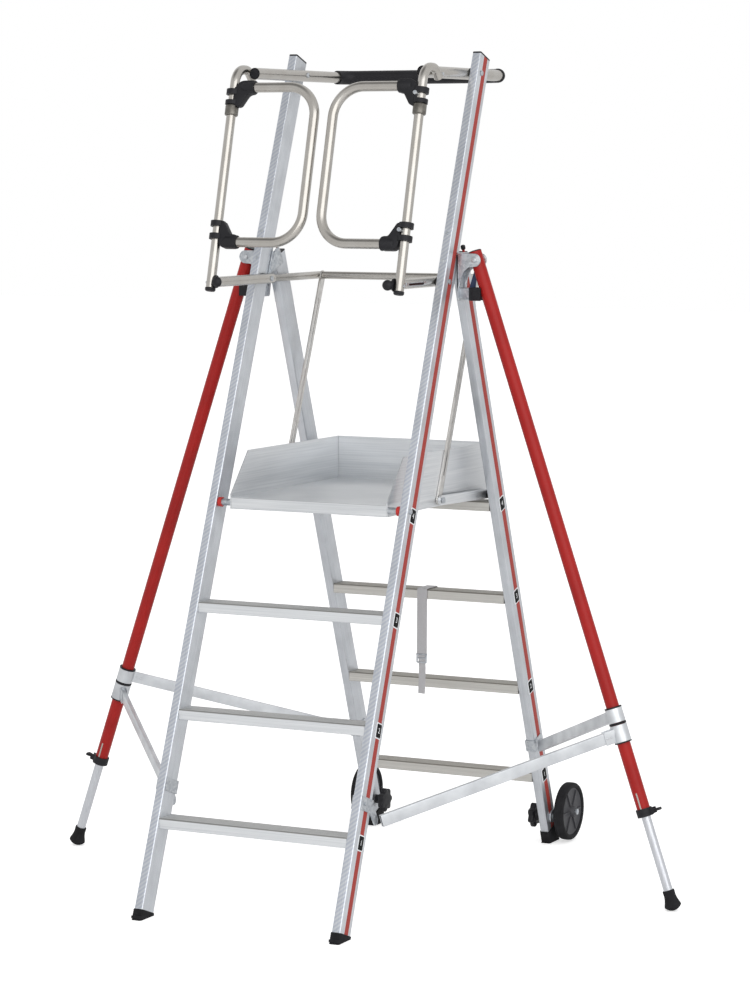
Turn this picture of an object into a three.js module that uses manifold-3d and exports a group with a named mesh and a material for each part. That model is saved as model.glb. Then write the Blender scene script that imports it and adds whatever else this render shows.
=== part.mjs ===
// A mobile ladder stand: a front ladder and a rear frame hinged near the top, a platform with
// toe boards, a knee rail, a guard rail with two swing doors, two telescopic outriggers and two
// wheels. Millimetres, +X to the right, +Y rearward, +Z up, the floor at Z = 0.
import * as THREE from "three";
import { mergeVertices } from "three/addons/utils/BufferGeometryUtils.js";
import Module from "manifold-3d";

const wasm = await Module();
wasm.setup();

// Clearances
const seat = 0.3; // between a piece and what carries it
const running = 0.5; // between a turning piece and its pin, on the radius

// Stiles of both frames, an extruded box section
const stileWidth = 24;
const stileDepth = 60;
const stileWall = 2;
const stileCorner = 3;
const stileCap = 3;

// Front ladder
const frontLean = THREE.MathUtils.degToRad(20.94);
const frontFootHalf = 289.2;
const frontTaper = 0.004;
const frontLength = 2316;

// Rear frame
const rearLean = THREE.MathUtils.degToRad(20.17);
const rearFootHalf = 282.65;
const rearTaper = 0.0025;
const rearFootY = 1296;
const rearLength = 1738;

// Rungs
const rungDepth = 62;
const frontRungHeight = 27;
const rearRungHeight = 26;
const rungWall = 2;
const frontRungCount = 3;
const frontRungPitch = 261.5;
const firstFrontRungTop = 243;
const rearRungCount = 4;
const rearRungPitch = 259;
const firstRearRungTop = 208;
const rearRungSetback = 5;

// Shoes on the stile ends
const shoeWall = 2;
const shoeSole = 6;
const shoeHeight = 36;

// Hinge of the rear frame
const hingeY = 720.5;
const hingeZ = 1630;
const hingePin = 5.5;
const hingePlate = 2;

// Outriggers
const outriggerX = 332;
const outriggerY = 696;
const outriggerZ = 1631;
const outriggerAngle = THREE.MathUtils.degToRad(18.74);
const outriggerTube = 17;
const outriggerWall = 2;
const outriggerHead = 25;
const outriggerLength = 1466;
const earThickness = 4;
const clipBottom = 1528;
const clipHeight = 33;

// Telescopic legs
const legTube = 12;
const legWall = 1.8;
const legInside = 176; // hidden in the outrigger tube
const clampLap = 13; // from the end of the outrigger tube up to the top of the clamp
const clampReach = 8; // and down to its bottom
const leverReach = 19;
const footBall = 26;
const footFlare = 22;
const footNeck = 15;
const footHeight = 53;

// Collars on the outriggers and the struts that they carry
const upperCollarTop = 1190;
const upperCollarLength = 36;
const lowerCollarTop = 1233;
const lowerCollarLength = 44;
const collarWall = 5;
const stopRing = 3;
const strutHeight = 30;
const strutThickness = 12;
const strutWall = 1.6;
const frontStrutEnd = new THREE.Vector3(297, 217.6, 264.4);
const rearStrutEnd = new THREE.Vector3(293.3, 1199.4, 290.3);

// Platform
const platformPivotY = 403;
const platformPivotZ = 1012;
const deckInset = 43.5; // from the inside of the front stiles' feet to the deck
const deckFront = 396;
const deckRear = 998;
const deckTop = 1025.5;
const deckHeight = 29.5;
const frontBeam = 28;
const boardThickness = 3;
const boardTop = 1138;
const boardFrontTop = 490;

// Parallel rails: every rail turns with the platform, so their arms have one length
const linkArm = 285;
const kneePivotY = 632;
const kneePivotZ = 1577;
const kneeFront = 364;
const kneeTube = 13;
const kneeTubeRear = 10;
const kneeJoint = 660;
const guardPivotY = 828;
const guardPivotZ = 2107;
const guardTubeDrop = 1.5; // the rail's axis under its pivots
const postPinDrop = 7; // the posts' pins under the same pivots
const postRise = 8; // the posts' bent tops over them
const guardFront = 563;
const guardRear = 1062;
const guardTube = 15;
const guardBend = 50;
const gripTube = 18.5;
const gripLap = 8; // from each bend of the guard rail to the end of its sleeve
const tubeWall = 2;
const railOuter = 254.5;

// Links and side arms
const linkWidth = 25;
const linkThickness = 4.5;
const linkSlotMargin = 70; // from a link's holes to the ends of its slot
const armThickness = 8;
const armEndY = 973;
const armEndZ = 1003;

// Door posts and doors
const postTube = 12;
const postLean = THREE.MathUtils.degToRad(14.45);
const postFootY = 378;
const postFootZ = 1575;
const doorTube = 12.75;
const doorBottom = 105.5;
const doorTop = 509.5;
const doorInner = 26.4;
const doorBend = 78;
const doorEnd = 216;
const clampBody = 250;

// Wheels
const wheelRadius = 80;
const wheelWidth = 28;
const wheelX = 300.3;
const axleY = 1353;
const axleZ = 84;
const axleRadius = 6;
const knobY = 1303;
const knobZ = 76;

// Strap round a rear rung
const strapX = 15;
const strapWidth = 30;
const strapThickness = 3;
const strapDrop = 292;

// Places worked out from the sizes above
const rearmost = axleY + wheelRadius;
const frontmost = -shoeWall / Math.cos(frontLean);
const middleY = (rearmost + frontmost) / 2;
const guardX = railOuter - guardTube;
const kneeX = railOuter - kneeTube;
const postX = railOuter + running + postTube;
const deckHalf = frontFootHalf - stileWidth - deckInset;

const point = (x, y, z) => new THREE.Vector3(x, y, z);
const up = point(0, 0, 1);

const finish = (color, roughness, metalness) =>
  new THREE.MeshStandardMaterial({ color, roughness, metalness });
const aluminium = finish(0xc9ccd1, 0.4, 0.9);
const ribbedAluminium = finish(0xa9a8a6, 0.5, 0.9);
const satinTube = finish(0xb9b3ab, 0.3, 1);
const zincSteel = finish(0xb4b8bd, 0.4, 0.9);
const redPaint = finish(0xb3292b, 0.35, 0.1);
const redPlastic = finish(0xc4352f, 0.45, 0);
const blackPlastic = finish(0x2b2b2f, 0.5, 0);
const blackRubber = finish(0x232325, 0.8, 0);
const greyWebbing = finish(0x9b9b9d, 0.9, 0);

const stand = new THREE.Group();
stand.position.y = -middleY;
const rightSide = new THREE.Group();
const leftSide = new THREE.Group();
leftSide.scale.x = -1;
stand.add(rightSide, leftSide);

// Solids: closed geometry in, closed geometry out
function solidOf(geometry) {
  const bare = new THREE.BufferGeometry();
  bare.setAttribute("position", geometry.getAttribute("position"));
  if (geometry.index) bare.setIndex(geometry.index);
  const welded = mergeVertices(bare, 1e-4);
  const mesh = new wasm.Mesh({
    numProp: 3,
    vertProperties: new Float32Array(welded.attributes.position.array),
    triVerts: new Uint32Array(welded.index.array),
  });
  return new wasm.Manifold(mesh);
}

function geometryOf(solid) {
  const mesh = solid.getMesh();
  const geometry = new THREE.BufferGeometry();
  geometry.setAttribute("position", new THREE.BufferAttribute(mesh.vertProperties, 3));
  geometry.setIndex(new THREE.BufferAttribute(mesh.triVerts, 1));
  return geometry;
}

const join = (...parts) => geometryOf(parts.map(solidOf).reduce((all, one) => all.add(one)));
const cut = (body, ...tools) =>
  geometryOf(tools.map(solidOf).reduce((rest, tool) => rest.subtract(tool), solidOf(body)));

// A flat outline pushed from one point to another; the outline's y lies towards "upward"
function extrudeBetween(outline, from, to, upward = up, sides = 6) {
  const along = to.clone().sub(from);
  const geometry = new THREE.ExtrudeGeometry(outline, {
    depth: along.length(),
    bevelEnabled: false,
    curveSegments: sides,
  });
  const z = along.normalize();
  const x = upward.clone().cross(z).normalize();
  const y = z.clone().cross(x);
  return geometry.applyMatrix4(new THREE.Matrix4().makeBasis(x, y, z).setPosition(from));
}

function rectangle(width, height, corner = 0) {
  const w = width / 2;
  const h = height / 2;
  const outline = new THREE.Shape();
  if (corner === 0) {
    return outline.moveTo(-w, -h).lineTo(w, -h).lineTo(w, h).lineTo(-w, h);
  }
  outline.absarc(w - corner, h - corner, corner, 0, Math.PI / 2);
  outline.absarc(corner - w, h - corner, corner, Math.PI / 2, Math.PI);
  outline.absarc(corner - w, corner - h, corner, Math.PI, Math.PI * 1.5);
  outline.absarc(w - corner, corner - h, corner, Math.PI * 1.5, Math.PI * 2);
  return outline;
}

function boxTube(width, height, wall, corner = 0) {
  const outline = rectangle(width, height, corner);
  outline.holes.push(rectangle(width - 2 * wall, height - 2 * wall));
  return outline;
}

const disc = (radius) => new THREE.Shape().absarc(0, 0, radius, 0, Math.PI * 2);

function annulus(outer, inner) {
  const outline = disc(outer);
  outline.holes.push(new THREE.Path().absarc(0, 0, inner, 0, Math.PI * 2));
  return outline;
}

const rod = (from, to, radius, sides = 6) => extrudeBetween(disc(radius), from, to, sideOf(from, to), sides);
const sleeve = (from, to, outer, inner, sides = 6) =>
  extrudeBetween(annulus(outer, inner), from, to, sideOf(from, to), sides);
const rodX = (x0, x1, y, z, radius, sides) => rod(point(x0, y, z), point(x1, y, z), radius, sides);
const rodY = (x, y0, y1, z, radius, sides) => rod(point(x, y0, z), point(x, y1, z), radius, sides);

// Any direction square enough to a bar to lay its outline by
function sideOf(from, to) {
  const along = to.clone().sub(from).normalize();
  return Math.abs(along.z) > 0.9 ? point(0, 1, 0) : up;
}

function block(x0, x1, y0, y1, z0, z1) {
  const box = new THREE.BoxGeometry(x1 - x0, y1 - y0, z1 - z0);
  return box.translate((x0 + x1) / 2, (y0 + y1) / 2, (z0 + z1) / 2);
}

// An outline of [y, z] points pushed along X
function plate(points, x0, x1) {
  const outline = new THREE.Shape(points.map(([y, z]) => new THREE.Vector2(y, z)));
  const geometry = new THREE.ExtrudeGeometry(outline, { depth: x1 - x0, bevelEnabled: false });
  const turned = new THREE.Matrix4().makeBasis(point(0, 1, 0), point(0, 0, 1), point(1, 0, 0));
  return geometry.applyMatrix4(turned.setPosition(x0, 0, 0));
}

// An outline in X and Z pushed along Y
function plateXZ(outline, y0, y1, sides = 6) {
  const depth = y1 - y0;
  const geometry = new THREE.ExtrudeGeometry(outline, { depth, bevelEnabled: false, curveSegments: sides });
  const turned = new THREE.Matrix4().makeBasis(point(1, 0, 0), point(0, 0, 1), point(0, -1, 0));
  return geometry.applyMatrix4(turned.setPosition(0, y1, 0));
}

// A line of points that a tube follows, one ring at each point
class TubeLine extends THREE.Curve {
  constructor(points) {
    super();
    this.points = points;
  }
  getPoint(t, target = new THREE.Vector3()) {
    const last = this.points.length - 1;
    const i = Math.min(Math.floor(t * last), last - 1);
    return target.lerpVectors(this.points[i], this.points[i + 1], t * last - i);
  }
  getPointAt(u, target) {
    return this.getPoint(u, target);
  }
  getTangentAt(u, target = new THREE.Vector3()) {
    const last = this.points.length - 1;
    const i = Math.round(u * last);
    const before = this.points[Math.max(i - 1, 0)];
    const after = this.points[Math.min(i + 1, last)];
    return target.subVectors(after, before).normalize();
  }
}

// Straight runs between corners, with an arc of the given radius at each corner
function bentLine(corners, radii, steps = 5) {
  const points = [corners[0].clone()];
  for (let i = 1; i < corners.length - 1; i++) {
    const back = corners[i - 1].clone().sub(corners[i]).normalize();
    const ahead = corners[i + 1].clone().sub(corners[i]).normalize();
    const half = back.angleTo(ahead) / 2;
    const middle = back.clone().add(ahead).normalize();
    const centre = corners[i].clone().addScaledVector(middle, radii[i - 1] / Math.sin(half));
    const start = corners[i].clone().addScaledVector(back, radii[i - 1] / Math.tan(half)).sub(centre);
    const axis = back.clone().cross(ahead).normalize().negate();
    for (let k = 0; k <= steps; k++) {
      const turn = ((Math.PI - 2 * half) * k) / steps;
      points.push(start.clone().applyAxisAngle(axis, turn).add(centre));
    }
  }
  points.push(corners.at(-1).clone());
  return points;
}

function tube(points, outline, sides = 6) {
  return new THREE.ExtrudeGeometry(outline, {
    steps: points.length - 1,
    curveSegments: sides,
    bevelEnabled: false,
    extrudePath: new TubeLine(points),
  });
}

// A closed profile of [radius, height] points turned round X
function turnedRoundX(profile, x, y, z, segments) {
  const closed = [...profile, profile[0]].map(([r, h]) => new THREE.Vector2(r, h));
  const turned = new THREE.LatheGeometry(closed, segments);
  const lay = new THREE.Matrix4().makeBasis(point(0, 1, 0), point(1, 0, 0), point(0, 0, -1));
  return turned.applyMatrix4(lay.setPosition(x, y, z));
}

function add(name, geometry, material) {
  const mesh = new THREE.Mesh(geometry, material);
  mesh.name = name;
  stand.add(mesh);
}

function addPair(name, geometry, material) {
  for (const [group, side] of [[rightSide, "right"], [leftSide, "left"]]) {
    const mesh = new THREE.Mesh(geometry, material);
    mesh.name = `${name}_${side}`;
    group.add(mesh);
  }
}

// Places on the front ladder and the rear frame, by the distance up the slope, the depth behind
// the front face and the distance from the middle
const frontAlong = point(0, Math.sin(frontLean), Math.cos(frontLean));
const frontDeep = point(0, Math.cos(frontLean), -Math.sin(frontLean));
const rearAlong = point(0, -Math.sin(rearLean), Math.cos(rearLean));
const rearDeep = point(0, Math.cos(rearLean), Math.sin(rearLean));
const onFront = (s, d, x) => point(x, 0, 0).addScaledVector(frontAlong, s).addScaledVector(frontDeep, d);
const onRear = (s, d, x) => point(x, rearFootY, 0).addScaledVector(rearAlong, s).addScaledVector(rearDeep, d);
const frontOuter = (s) => frontFootHalf - frontTaper * s;
const rearOuter = (s) => rearFootHalf - rearTaper * s;
const frontSlope = (y, z) => point(0, y, z).dot(frontAlong);
const rearSlope = (y, z) => point(0, y - rearFootY, z).dot(rearAlong);

// A bar of a given outline along a stile, with its middle in the stile's middle
const alongFront = (outline, s0, s1) =>
  extrudeBetween(
    outline,
    onFront(s0, stileDepth / 2, frontOuter(s0) - stileWidth / 2),
    onFront(s1, stileDepth / 2, frontOuter(s1) - stileWidth / 2),
    frontDeep,
    1,
  );
const alongRear = (outline, s0, s1) =>
  extrudeBetween(
    outline,
    onRear(s0, stileDepth / 2, rearOuter(s0) - stileWidth / 2),
    onRear(s1, stileDepth / 2, rearOuter(s1) - stileWidth / 2),
    rearDeep,
    1,
  );
const stileBore = rectangle(stileWidth - 2 * stileWall, stileDepth - 2 * stileWall);
const stileSolid = rectangle(stileWidth, stileDepth, stileCorner);
const overrun = 60; // what a stile and its shoe are cut from below the floor
const belowSole = block(0, 400, -200, 1600, -200, shoeSole);
const belowFloor = block(0, 400, -200, 1600, -200, 0);

// A bracket that wraps a stile: a short collar of plate round the stile's section
function stileWrap(thickness, depthShift, depth) {
  const outline = new THREE.Shape();
  const w = stileWidth / 2 + thickness;
  const low = depthShift - stileDepth / 2;
  outline.moveTo(-w, low).lineTo(w, low).lineTo(w, low + depth).lineTo(-w, low + depth);
  return outline;
}
const wrapThickness = 2.5;
const wrapLength = 34;
const wrapOutside = (outer) => outer + wrapThickness;

// Front stiles, with the bolt holes of the rails and the platform and the strut bracket
const boltRadius = 4;
const boltHead = 7;
const frontBracketSlope = 350;
const frontWrap = cut(
  alongFront(
    stileWrap(wrapThickness, 3, stileDepth),
    frontBracketSlope - wrapLength / 2,
    frontBracketSlope + wrapLength / 2,
  ),
  alongFront(
    rectangle(stileWidth - 2, stileDepth - 2),
    frontBracketSlope - wrapLength,
    frontBracketSlope + wrapLength,
  ),
);
const strutLug = plate(
  [[172, 318], [192, 310], [216, 270], [213, 256], [200, 254], [176, 290]],
  frontOuter(frontBracketSlope) - 8,
  frontOuter(frontBracketSlope) + 1.5,
);
const strutPeg = rodX(frontOuter(frontBracketSlope) - 22, frontStrutEnd.x - 5.6, 206, 264, 5);
const frontStile = cut(
  join(
    cut(
      alongFront(stileSolid, -overrun, frontLength),
      alongFront(stileBore, -overrun - 10, frontLength - stileCap),
      belowSole,
    ),
    frontWrap,
    strutLug,
    strutPeg,
  ),
  rodX(240, 310, guardPivotY, guardPivotZ, boltRadius + running),
  rodX(240, 310, kneePivotY, kneePivotZ, boltRadius + running),
  rodX(240, 310, platformPivotY, platformPivotZ, boltRadius + running),
);
addPair("front_stile", frontStile, aluminium);

// Shoes: a cup round the stile end with a sole on the floor
const shoeOutline = rectangle(stileWidth + 2 * shoeWall, stileDepth + 2 * shoeWall);
const shoePocket = rectangle(stileWidth + 2 * seat, stileDepth + 2 * seat);
const frontShoe = cut(
  alongFront(shoeOutline, -overrun, shoeHeight),
  belowFloor,
  cut(alongFront(shoePocket, -overrun, shoeHeight + 1), block(0, 400, -200, 1600, -200, shoeSole - seat)),
);
addPair("front_shoe", frontShoe, blackRubber);

// Front rungs
function rung(top, height, frontEdge, outer) {
  const half = outer - stileWidth - seat;
  const middle = point(half, frontEdge + rungDepth / 2, top - height / 2);
  const outline = boxTube(rungDepth, height, rungWall, 2.5);
  return extrudeBetween(outline, point(-half, middle.y, middle.z), middle, up, 1);
}
for (let i = 0; i < frontRungCount; i++) {
  const top = firstFrontRungTop + i * frontRungPitch;
  const frontEdge = top * Math.tan(frontLean);
  const outer = frontOuter(top / Math.cos(frontLean));
  add(`front_rung_${i + 1}`, rung(top, frontRungHeight, frontEdge, outer), ribbedAluminium);
}

// Hinge brackets: an outer web with two ears for the outrigger and the clip below them, the
// hinge bolt through both stiles, and the inner plate
const hingeSlope = frontSlope(hingeY, hingeZ);
const webInner = frontOuter(hingeSlope) + 1;
const webOuter = webInner + 3.5;
const web = plate([[674.7, 1527], [722, 1527], [741, 1612], [741, 1650], [674.7, 1650]], webInner, webOuter);
const earOutline = new THREE.Shape();
earOutline.moveTo(webInner, 1550);
earOutline.lineTo(webInner + 12, 1572);
earOutline.absarc(outriggerX, outriggerZ, outriggerTube, -Math.PI * 0.3, Math.PI / 2);
earOutline.lineTo(webInner, 1650);
const earInside = outriggerTube + seat;
const ears = [outriggerY - earInside - earThickness, outriggerY + earInside].map((y) =>
  plateXZ(earOutline, y, y + earThickness, 5),
);
const earOutside = earInside + earThickness;
const outriggerPin = 5;
const earPin = rodY(outriggerX, outriggerY - earOutside, outriggerY + earOutside, outriggerZ, outriggerPin);
const clipOutline = new THREE.Shape();
const clipArm = outriggerTube + 5;
clipOutline.moveTo(outriggerX + 18, outriggerY - clipArm);
clipOutline.lineTo(outriggerX + 18, outriggerY - earInside);
clipOutline.lineTo(outriggerX, outriggerY - earInside);
clipOutline.absarc(outriggerX, outriggerY, outriggerTube + seat * 2, -Math.PI / 2, Math.PI / 2, true);
clipOutline.lineTo(outriggerX + 18, outriggerY + earInside);
clipOutline.lineTo(outriggerX + 18, outriggerY + clipArm);
clipOutline.lineTo(outriggerX, outriggerY + clipArm);
clipOutline.absarc(outriggerX, outriggerY, clipArm, Math.PI / 2, Math.PI * 1.5);
const clipShape = { depth: clipHeight, bevelEnabled: false, curveSegments: 8 };
const clip = new THREE.ExtrudeGeometry(clipOutline, clipShape);
clip.translate(0, 0, clipBottom);
const clipPost = block(
  webOuter - 1,
  outriggerX - clipArm + 3,
  outriggerY - 9,
  outriggerY + 9,
  clipBottom + 2,
  clipBottom + clipHeight,
);
const innerPlateOuter = rearOuter(rearSlope(hingeY, hingeZ)) - stileWidth - running;
const innerPlate = plate(
  [[664, 1588], [678, 1588], [742, 1616], [716, 1658], [696, 1652]],
  innerPlateOuter - hingePlate,
  innerPlateOuter,
);
const innerPad = plate(
  [[664, 1588], [673, 1588], [695, 1646], [685, 1646]],
  innerPlateOuter - 0.5,
  frontOuter(hingeSlope) - stileWidth - seat,
);
const hingeBolt = rodX(innerPlateOuter - hingePlate + 0.2, webOuter + 4, hingeY, hingeZ, hingePin);
const hingeHead = rodX(webOuter - 0.5, webOuter + 5, hingeY, hingeZ, 10, 6);
addPair(
  "hinge_bracket",
  join(web, ...ears, earPin, clip, clipPost, innerPlate, innerPad, hingeBolt, hingeHead),
  zincSteel,
);

// Rear stiles, with the hinge hole, the strut bracket, the wheel bolt hole and the closed top
const rearBracketSlope = 309;
const rearWrap = cut(
  alongRear(
    stileWrap(wrapThickness, -3, 48),
    rearBracketSlope - wrapLength / 2,
    rearBracketSlope + wrapLength / 2,
  ),
  alongRear(
    rectangle(stileWidth - 2, stileDepth - 2),
    rearBracketSlope - wrapLength,
    rearBracketSlope + wrapLength,
  ),
);
const knobDepth = 50;
const knobInset = 7;
const knobStem = 3.5;
const onStem = (s) => onRear(rearLength + s, knobDepth, rearOuter(rearLength) - knobInset);
const stemFrom = onStem(-34);
const stemTo = onStem(9);
const rearStile = cut(
  join(
    cut(
      alongRear(stileSolid, -overrun, rearLength),
      alongRear(stileBore, -overrun - 10, rearLength - stileCap),
      belowSole,
    ),
    rearWrap,
  ),
  rodX(240, 300, hingeY, hingeZ, hingePin + running),
  rodX(240, 300, knobY, knobZ, 5 + running),
  rod(stemFrom, stemTo, knobStem + running),
);
addPair("rear_stile", rearStile, aluminium);
const rearShoe = cut(
  alongRear(shoeOutline, -overrun, shoeHeight),
  belowFloor,
  cut(alongRear(shoePocket, -overrun, shoeHeight + 1), block(0, 400, -200, 1600, -200, shoeSole - seat)),
);
addPair("rear_shoe", rearShoe, blackRubber);

// Rear rungs
for (let i = 0; i < rearRungCount; i++) {
  const top = firstRearRungTop + i * rearRungPitch;
  const frontEdge = rearFootY - top * Math.tan(rearLean) + rearRungSetback;
  const outer = rearOuter(top / Math.cos(rearLean));
  add(`rear_rung_${i + 1}`, rung(top, rearRungHeight, frontEdge, outer), ribbedAluminium);
}

// Lock knobs: a mushroom on a stem that slides in the top of the rear stile
addPair(
  "lock_knob",
  join(rod(stemFrom, stemTo, knobStem), rod(onStem(7), onStem(15), 5.5), rod(onStem(14), onStem(20), 9)),
  blackPlastic,
);

// Wheel brackets: a plate outside the rear stile, held by a bolt through it, with the axle
const wheelPlateInner = rearOuter(rearSlope(knobY, knobZ)) + 0.6;
const wheelPlateOuter = wheelPlateInner + 5;
const wheelPlate = plate(
  [[1287, 62], [1308, 58], [1358, 66], [1370, 78], [1368, 94], [1352, 102], [1300, 94], [1287, 86]],
  wheelPlateInner,
  wheelPlateOuter,
);
const axleEnd = wheelX + wheelWidth + 8;
addPair(
  "wheel_bracket",
  join(
    wheelPlate,
    rodX(232, wheelPlateInner + 1, knobY, knobZ, 5),
    rodX(wheelPlateOuter - 1, wheelX - 9, axleY, axleZ, 14),
    rodX(wheelPlateOuter - 1, axleEnd, axleY, axleZ, axleRadius),
    rodX(axleEnd - 1, axleEnd + 5, axleY, axleZ, 9, 3),
  ),
  zincSteel,
);

// Wheels: a moulded tread, a dished web and a hub
const w = wheelWidth;
const hubIn = -8;
const hubOut = w + 7;
const bore = axleRadius + running;
const wheelProfile = [
  [bore, hubIn], [15, hubIn], [17, 7], [66, 7], [69, 1], [76, 0], [wheelRadius, 5],
  [wheelRadius, w - 5], [76, w], [69, w - 1], [66, w - 8], [17, w - 8], [14, hubOut], [bore, hubOut],
];
addPair("wheel", turnedRoundX(wheelProfile, wheelX, axleY, axleZ, 32), blackRubber);

// Star knobs on the inner end of the wheel bolt
const starOuter = rearOuter(rearSlope(knobY, knobZ)) - stileWidth - seat;
const starLobes = 7;
const starPoints = 42;
const star = new THREE.Shape();
for (let i = 0; i < starPoints; i++) {
  const turn = (i / starPoints) * Math.PI * 2;
  const r = 31 + 3.5 * Math.cos(starLobes * turn);
  if (i === 0) star.moveTo(r, 0);
  else star.lineTo(r * Math.cos(turn), r * Math.sin(turn));
}
const starKnob = cut(
  join(
    extrudeBetween(star, point(starOuter - 34, knobY, knobZ), point(starOuter - 18, knobY, knobZ), up),
    rodX(starOuter - 19, starOuter, knobY, knobZ, 12.5),
  ),
  rodX(starOuter - 28, starOuter + 1, knobY, knobZ, 5 + running),
);
addPair("star_knob", starKnob, blackPlastic);

// Outrigger tubes: distances run down the tube from its pivot
const outriggerDown = point(Math.sin(outriggerAngle), 0, -Math.cos(outriggerAngle));
const pivot = point(outriggerX, outriggerY, outriggerZ);
const onOutrigger = (s) => pivot.clone().addScaledVector(outriggerDown, s);
const aroundTube = (s0, s1, outer, inner, sides = 6) =>
  sleeve(onOutrigger(s0), onOutrigger(s1), outer, inner, sides);
const ringsAt = [
  upperCollarTop - seat - stopRing,
  (upperCollarTop + upperCollarLength + lowerCollarTop - stopRing) / 2,
  lowerCollarTop + lowerCollarLength + seat,
];
const outrigger = cut(
  join(
    aroundTube(-outriggerHead, outriggerLength, outriggerTube, outriggerTube - outriggerWall),
    rod(onOutrigger(-outriggerHead), onOutrigger(-outriggerHead + 3), outriggerTube - 1),
    ...ringsAt.map((s) => aroundTube(s, s + stopRing, outriggerTube + 3.5, outriggerTube - 1)),
  ),
  rodY(outriggerX, outriggerY - 30, outriggerY + 30, outriggerZ, outriggerPin + running),
);
addPair("outrigger_tube", outrigger, redPaint);

// Leg clamps on the tube ends, with two ears for the lever
const clampTop = outriggerLength - clampLap;
const clampBottom = outriggerLength + clampReach;
const clampOuter = outriggerTube + 4;
const clampEars = 18;
const leverHalf = 6;
const leverPin = 1.8;
const leverPinHalf = clampEars / 2 + 1;
const leverHub = 4.2;
const outwards = point(Math.cos(outriggerAngle), 0, Math.sin(outriggerAngle));
const beside = (distance) => onOutrigger((clampTop + clampBottom) / 2).addScaledVector(outwards, distance);
const leverPivot = beside(clampOuter + 5);
const legClamp = cut(
  join(
    cut(
      extrudeBetween(rectangle(16, clampEars), beside(0), beside(clampOuter + 9), point(0, 1, 0)),
      extrudeBetween(
        rectangle(24, 2 * (leverHalf + seat)),
        beside(clampOuter - 2),
        beside(clampOuter + 10),
        point(0, 1, 0),
      ),
    ),
    rod(onOutrigger(clampTop), onOutrigger(clampBottom), clampOuter),
    rodY(leverPivot.x, outriggerY - leverPinHalf, outriggerY + leverPinHalf, leverPivot.z, leverPin),
  ),
  rod(onOutrigger(clampTop - 1), onOutrigger(outriggerLength + seat), outriggerTube + seat),
  rod(onOutrigger(clampTop), onOutrigger(clampBottom + 1), legTube + seat),
);
addPair("leg_clamp", legClamp, blackPlastic);

// Clamp levers
const leverBar = (width, from, to) =>
  extrudeBetween(
    rectangle(7, width),
    leverPivot.clone().addScaledVector(outwards, from),
    leverPivot.clone().addScaledVector(outwards, to),
    point(0, 1, 0),
  );
const lever = cut(
  join(
    rodY(leverPivot.x, outriggerY - leverHalf, outriggerY + leverHalf, leverPivot.z, leverHub),
    leverBar(2 * leverHalf, 2, 12),
    leverBar(18, 10, leverReach),
  ),
  rodY(leverPivot.x, outriggerY - 12, outriggerY + 12, leverPivot.z, leverPin + running),
);
addPair("clamp_lever", lever, blackPlastic);

// Telescopic legs and their rubber feet
const ballCentre = (outriggerZ - footBall) / Math.cos(outriggerAngle);
const legEnd = ballCentre + 2;
addPair("leg_tube", aroundTube(outriggerLength - legInside, legEnd, legTube, legTube - legWall), aluminium);
const ball = new THREE.SphereGeometry(footBall + 0.5, 16, 10);
ball.rotateX(Math.PI / 2);
ball.translate(...onOutrigger(ballCentre).toArray());
const soleTop = ballCentre + Math.sqrt(footBall ** 2 - footFlare ** 2);
const footNeckTop = ballCentre + footBall - footHeight;
const overFoot = rod(onOutrigger(footNeckTop - 20), onOutrigger(soleTop - 0.5), footBall + 5);
const flare = new THREE.CylinderGeometry(footNeck, footFlare, 26, 16);
const flareMiddle = onOutrigger(soleTop - 13);
const flareUp = outriggerDown.clone().negate();
flare.applyMatrix4(new THREE.Matrix4().makeBasis(point(0, 1, 0), flareUp, outwards).setPosition(flareMiddle));
const foot = cut(
  join(rod(onOutrigger(footNeckTop), onOutrigger(soleTop), footNeck), flare, cut(ball, overFoot)),
  rod(onOutrigger(footNeckTop - 5), onOutrigger(legEnd + seat), legTube + seat),
  block(700, 1000, 600, 800, -60, 0),
);
addPair("foot", foot, blackRubber);

// Struts: a box bar from a collar on the outrigger to the stile
function strut(collarTop, collarLength, end) {
  const centre = onOutrigger(collarTop + collarLength / 2);
  const away = end.clone().sub(centre).normalize();
  const from = centre.clone().addScaledVector(away, outriggerTube + 3);
  const bar = extrudeBetween(boxTube(strutThickness, strutHeight, strutWall), from, end, up);
  const bottom = collarTop + collarLength;
  const collar = aroundTube(collarTop, bottom, outriggerTube + collarWall, outriggerTube + seat, 10);
  return join(bar, collar);
}
addPair("front_strut", strut(lowerCollarTop, lowerCollarLength, frontStrutEnd), aluminium);
addPair("rear_strut", strut(upperCollarTop, upperCollarLength, rearStrutEnd), aluminium);

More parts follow.
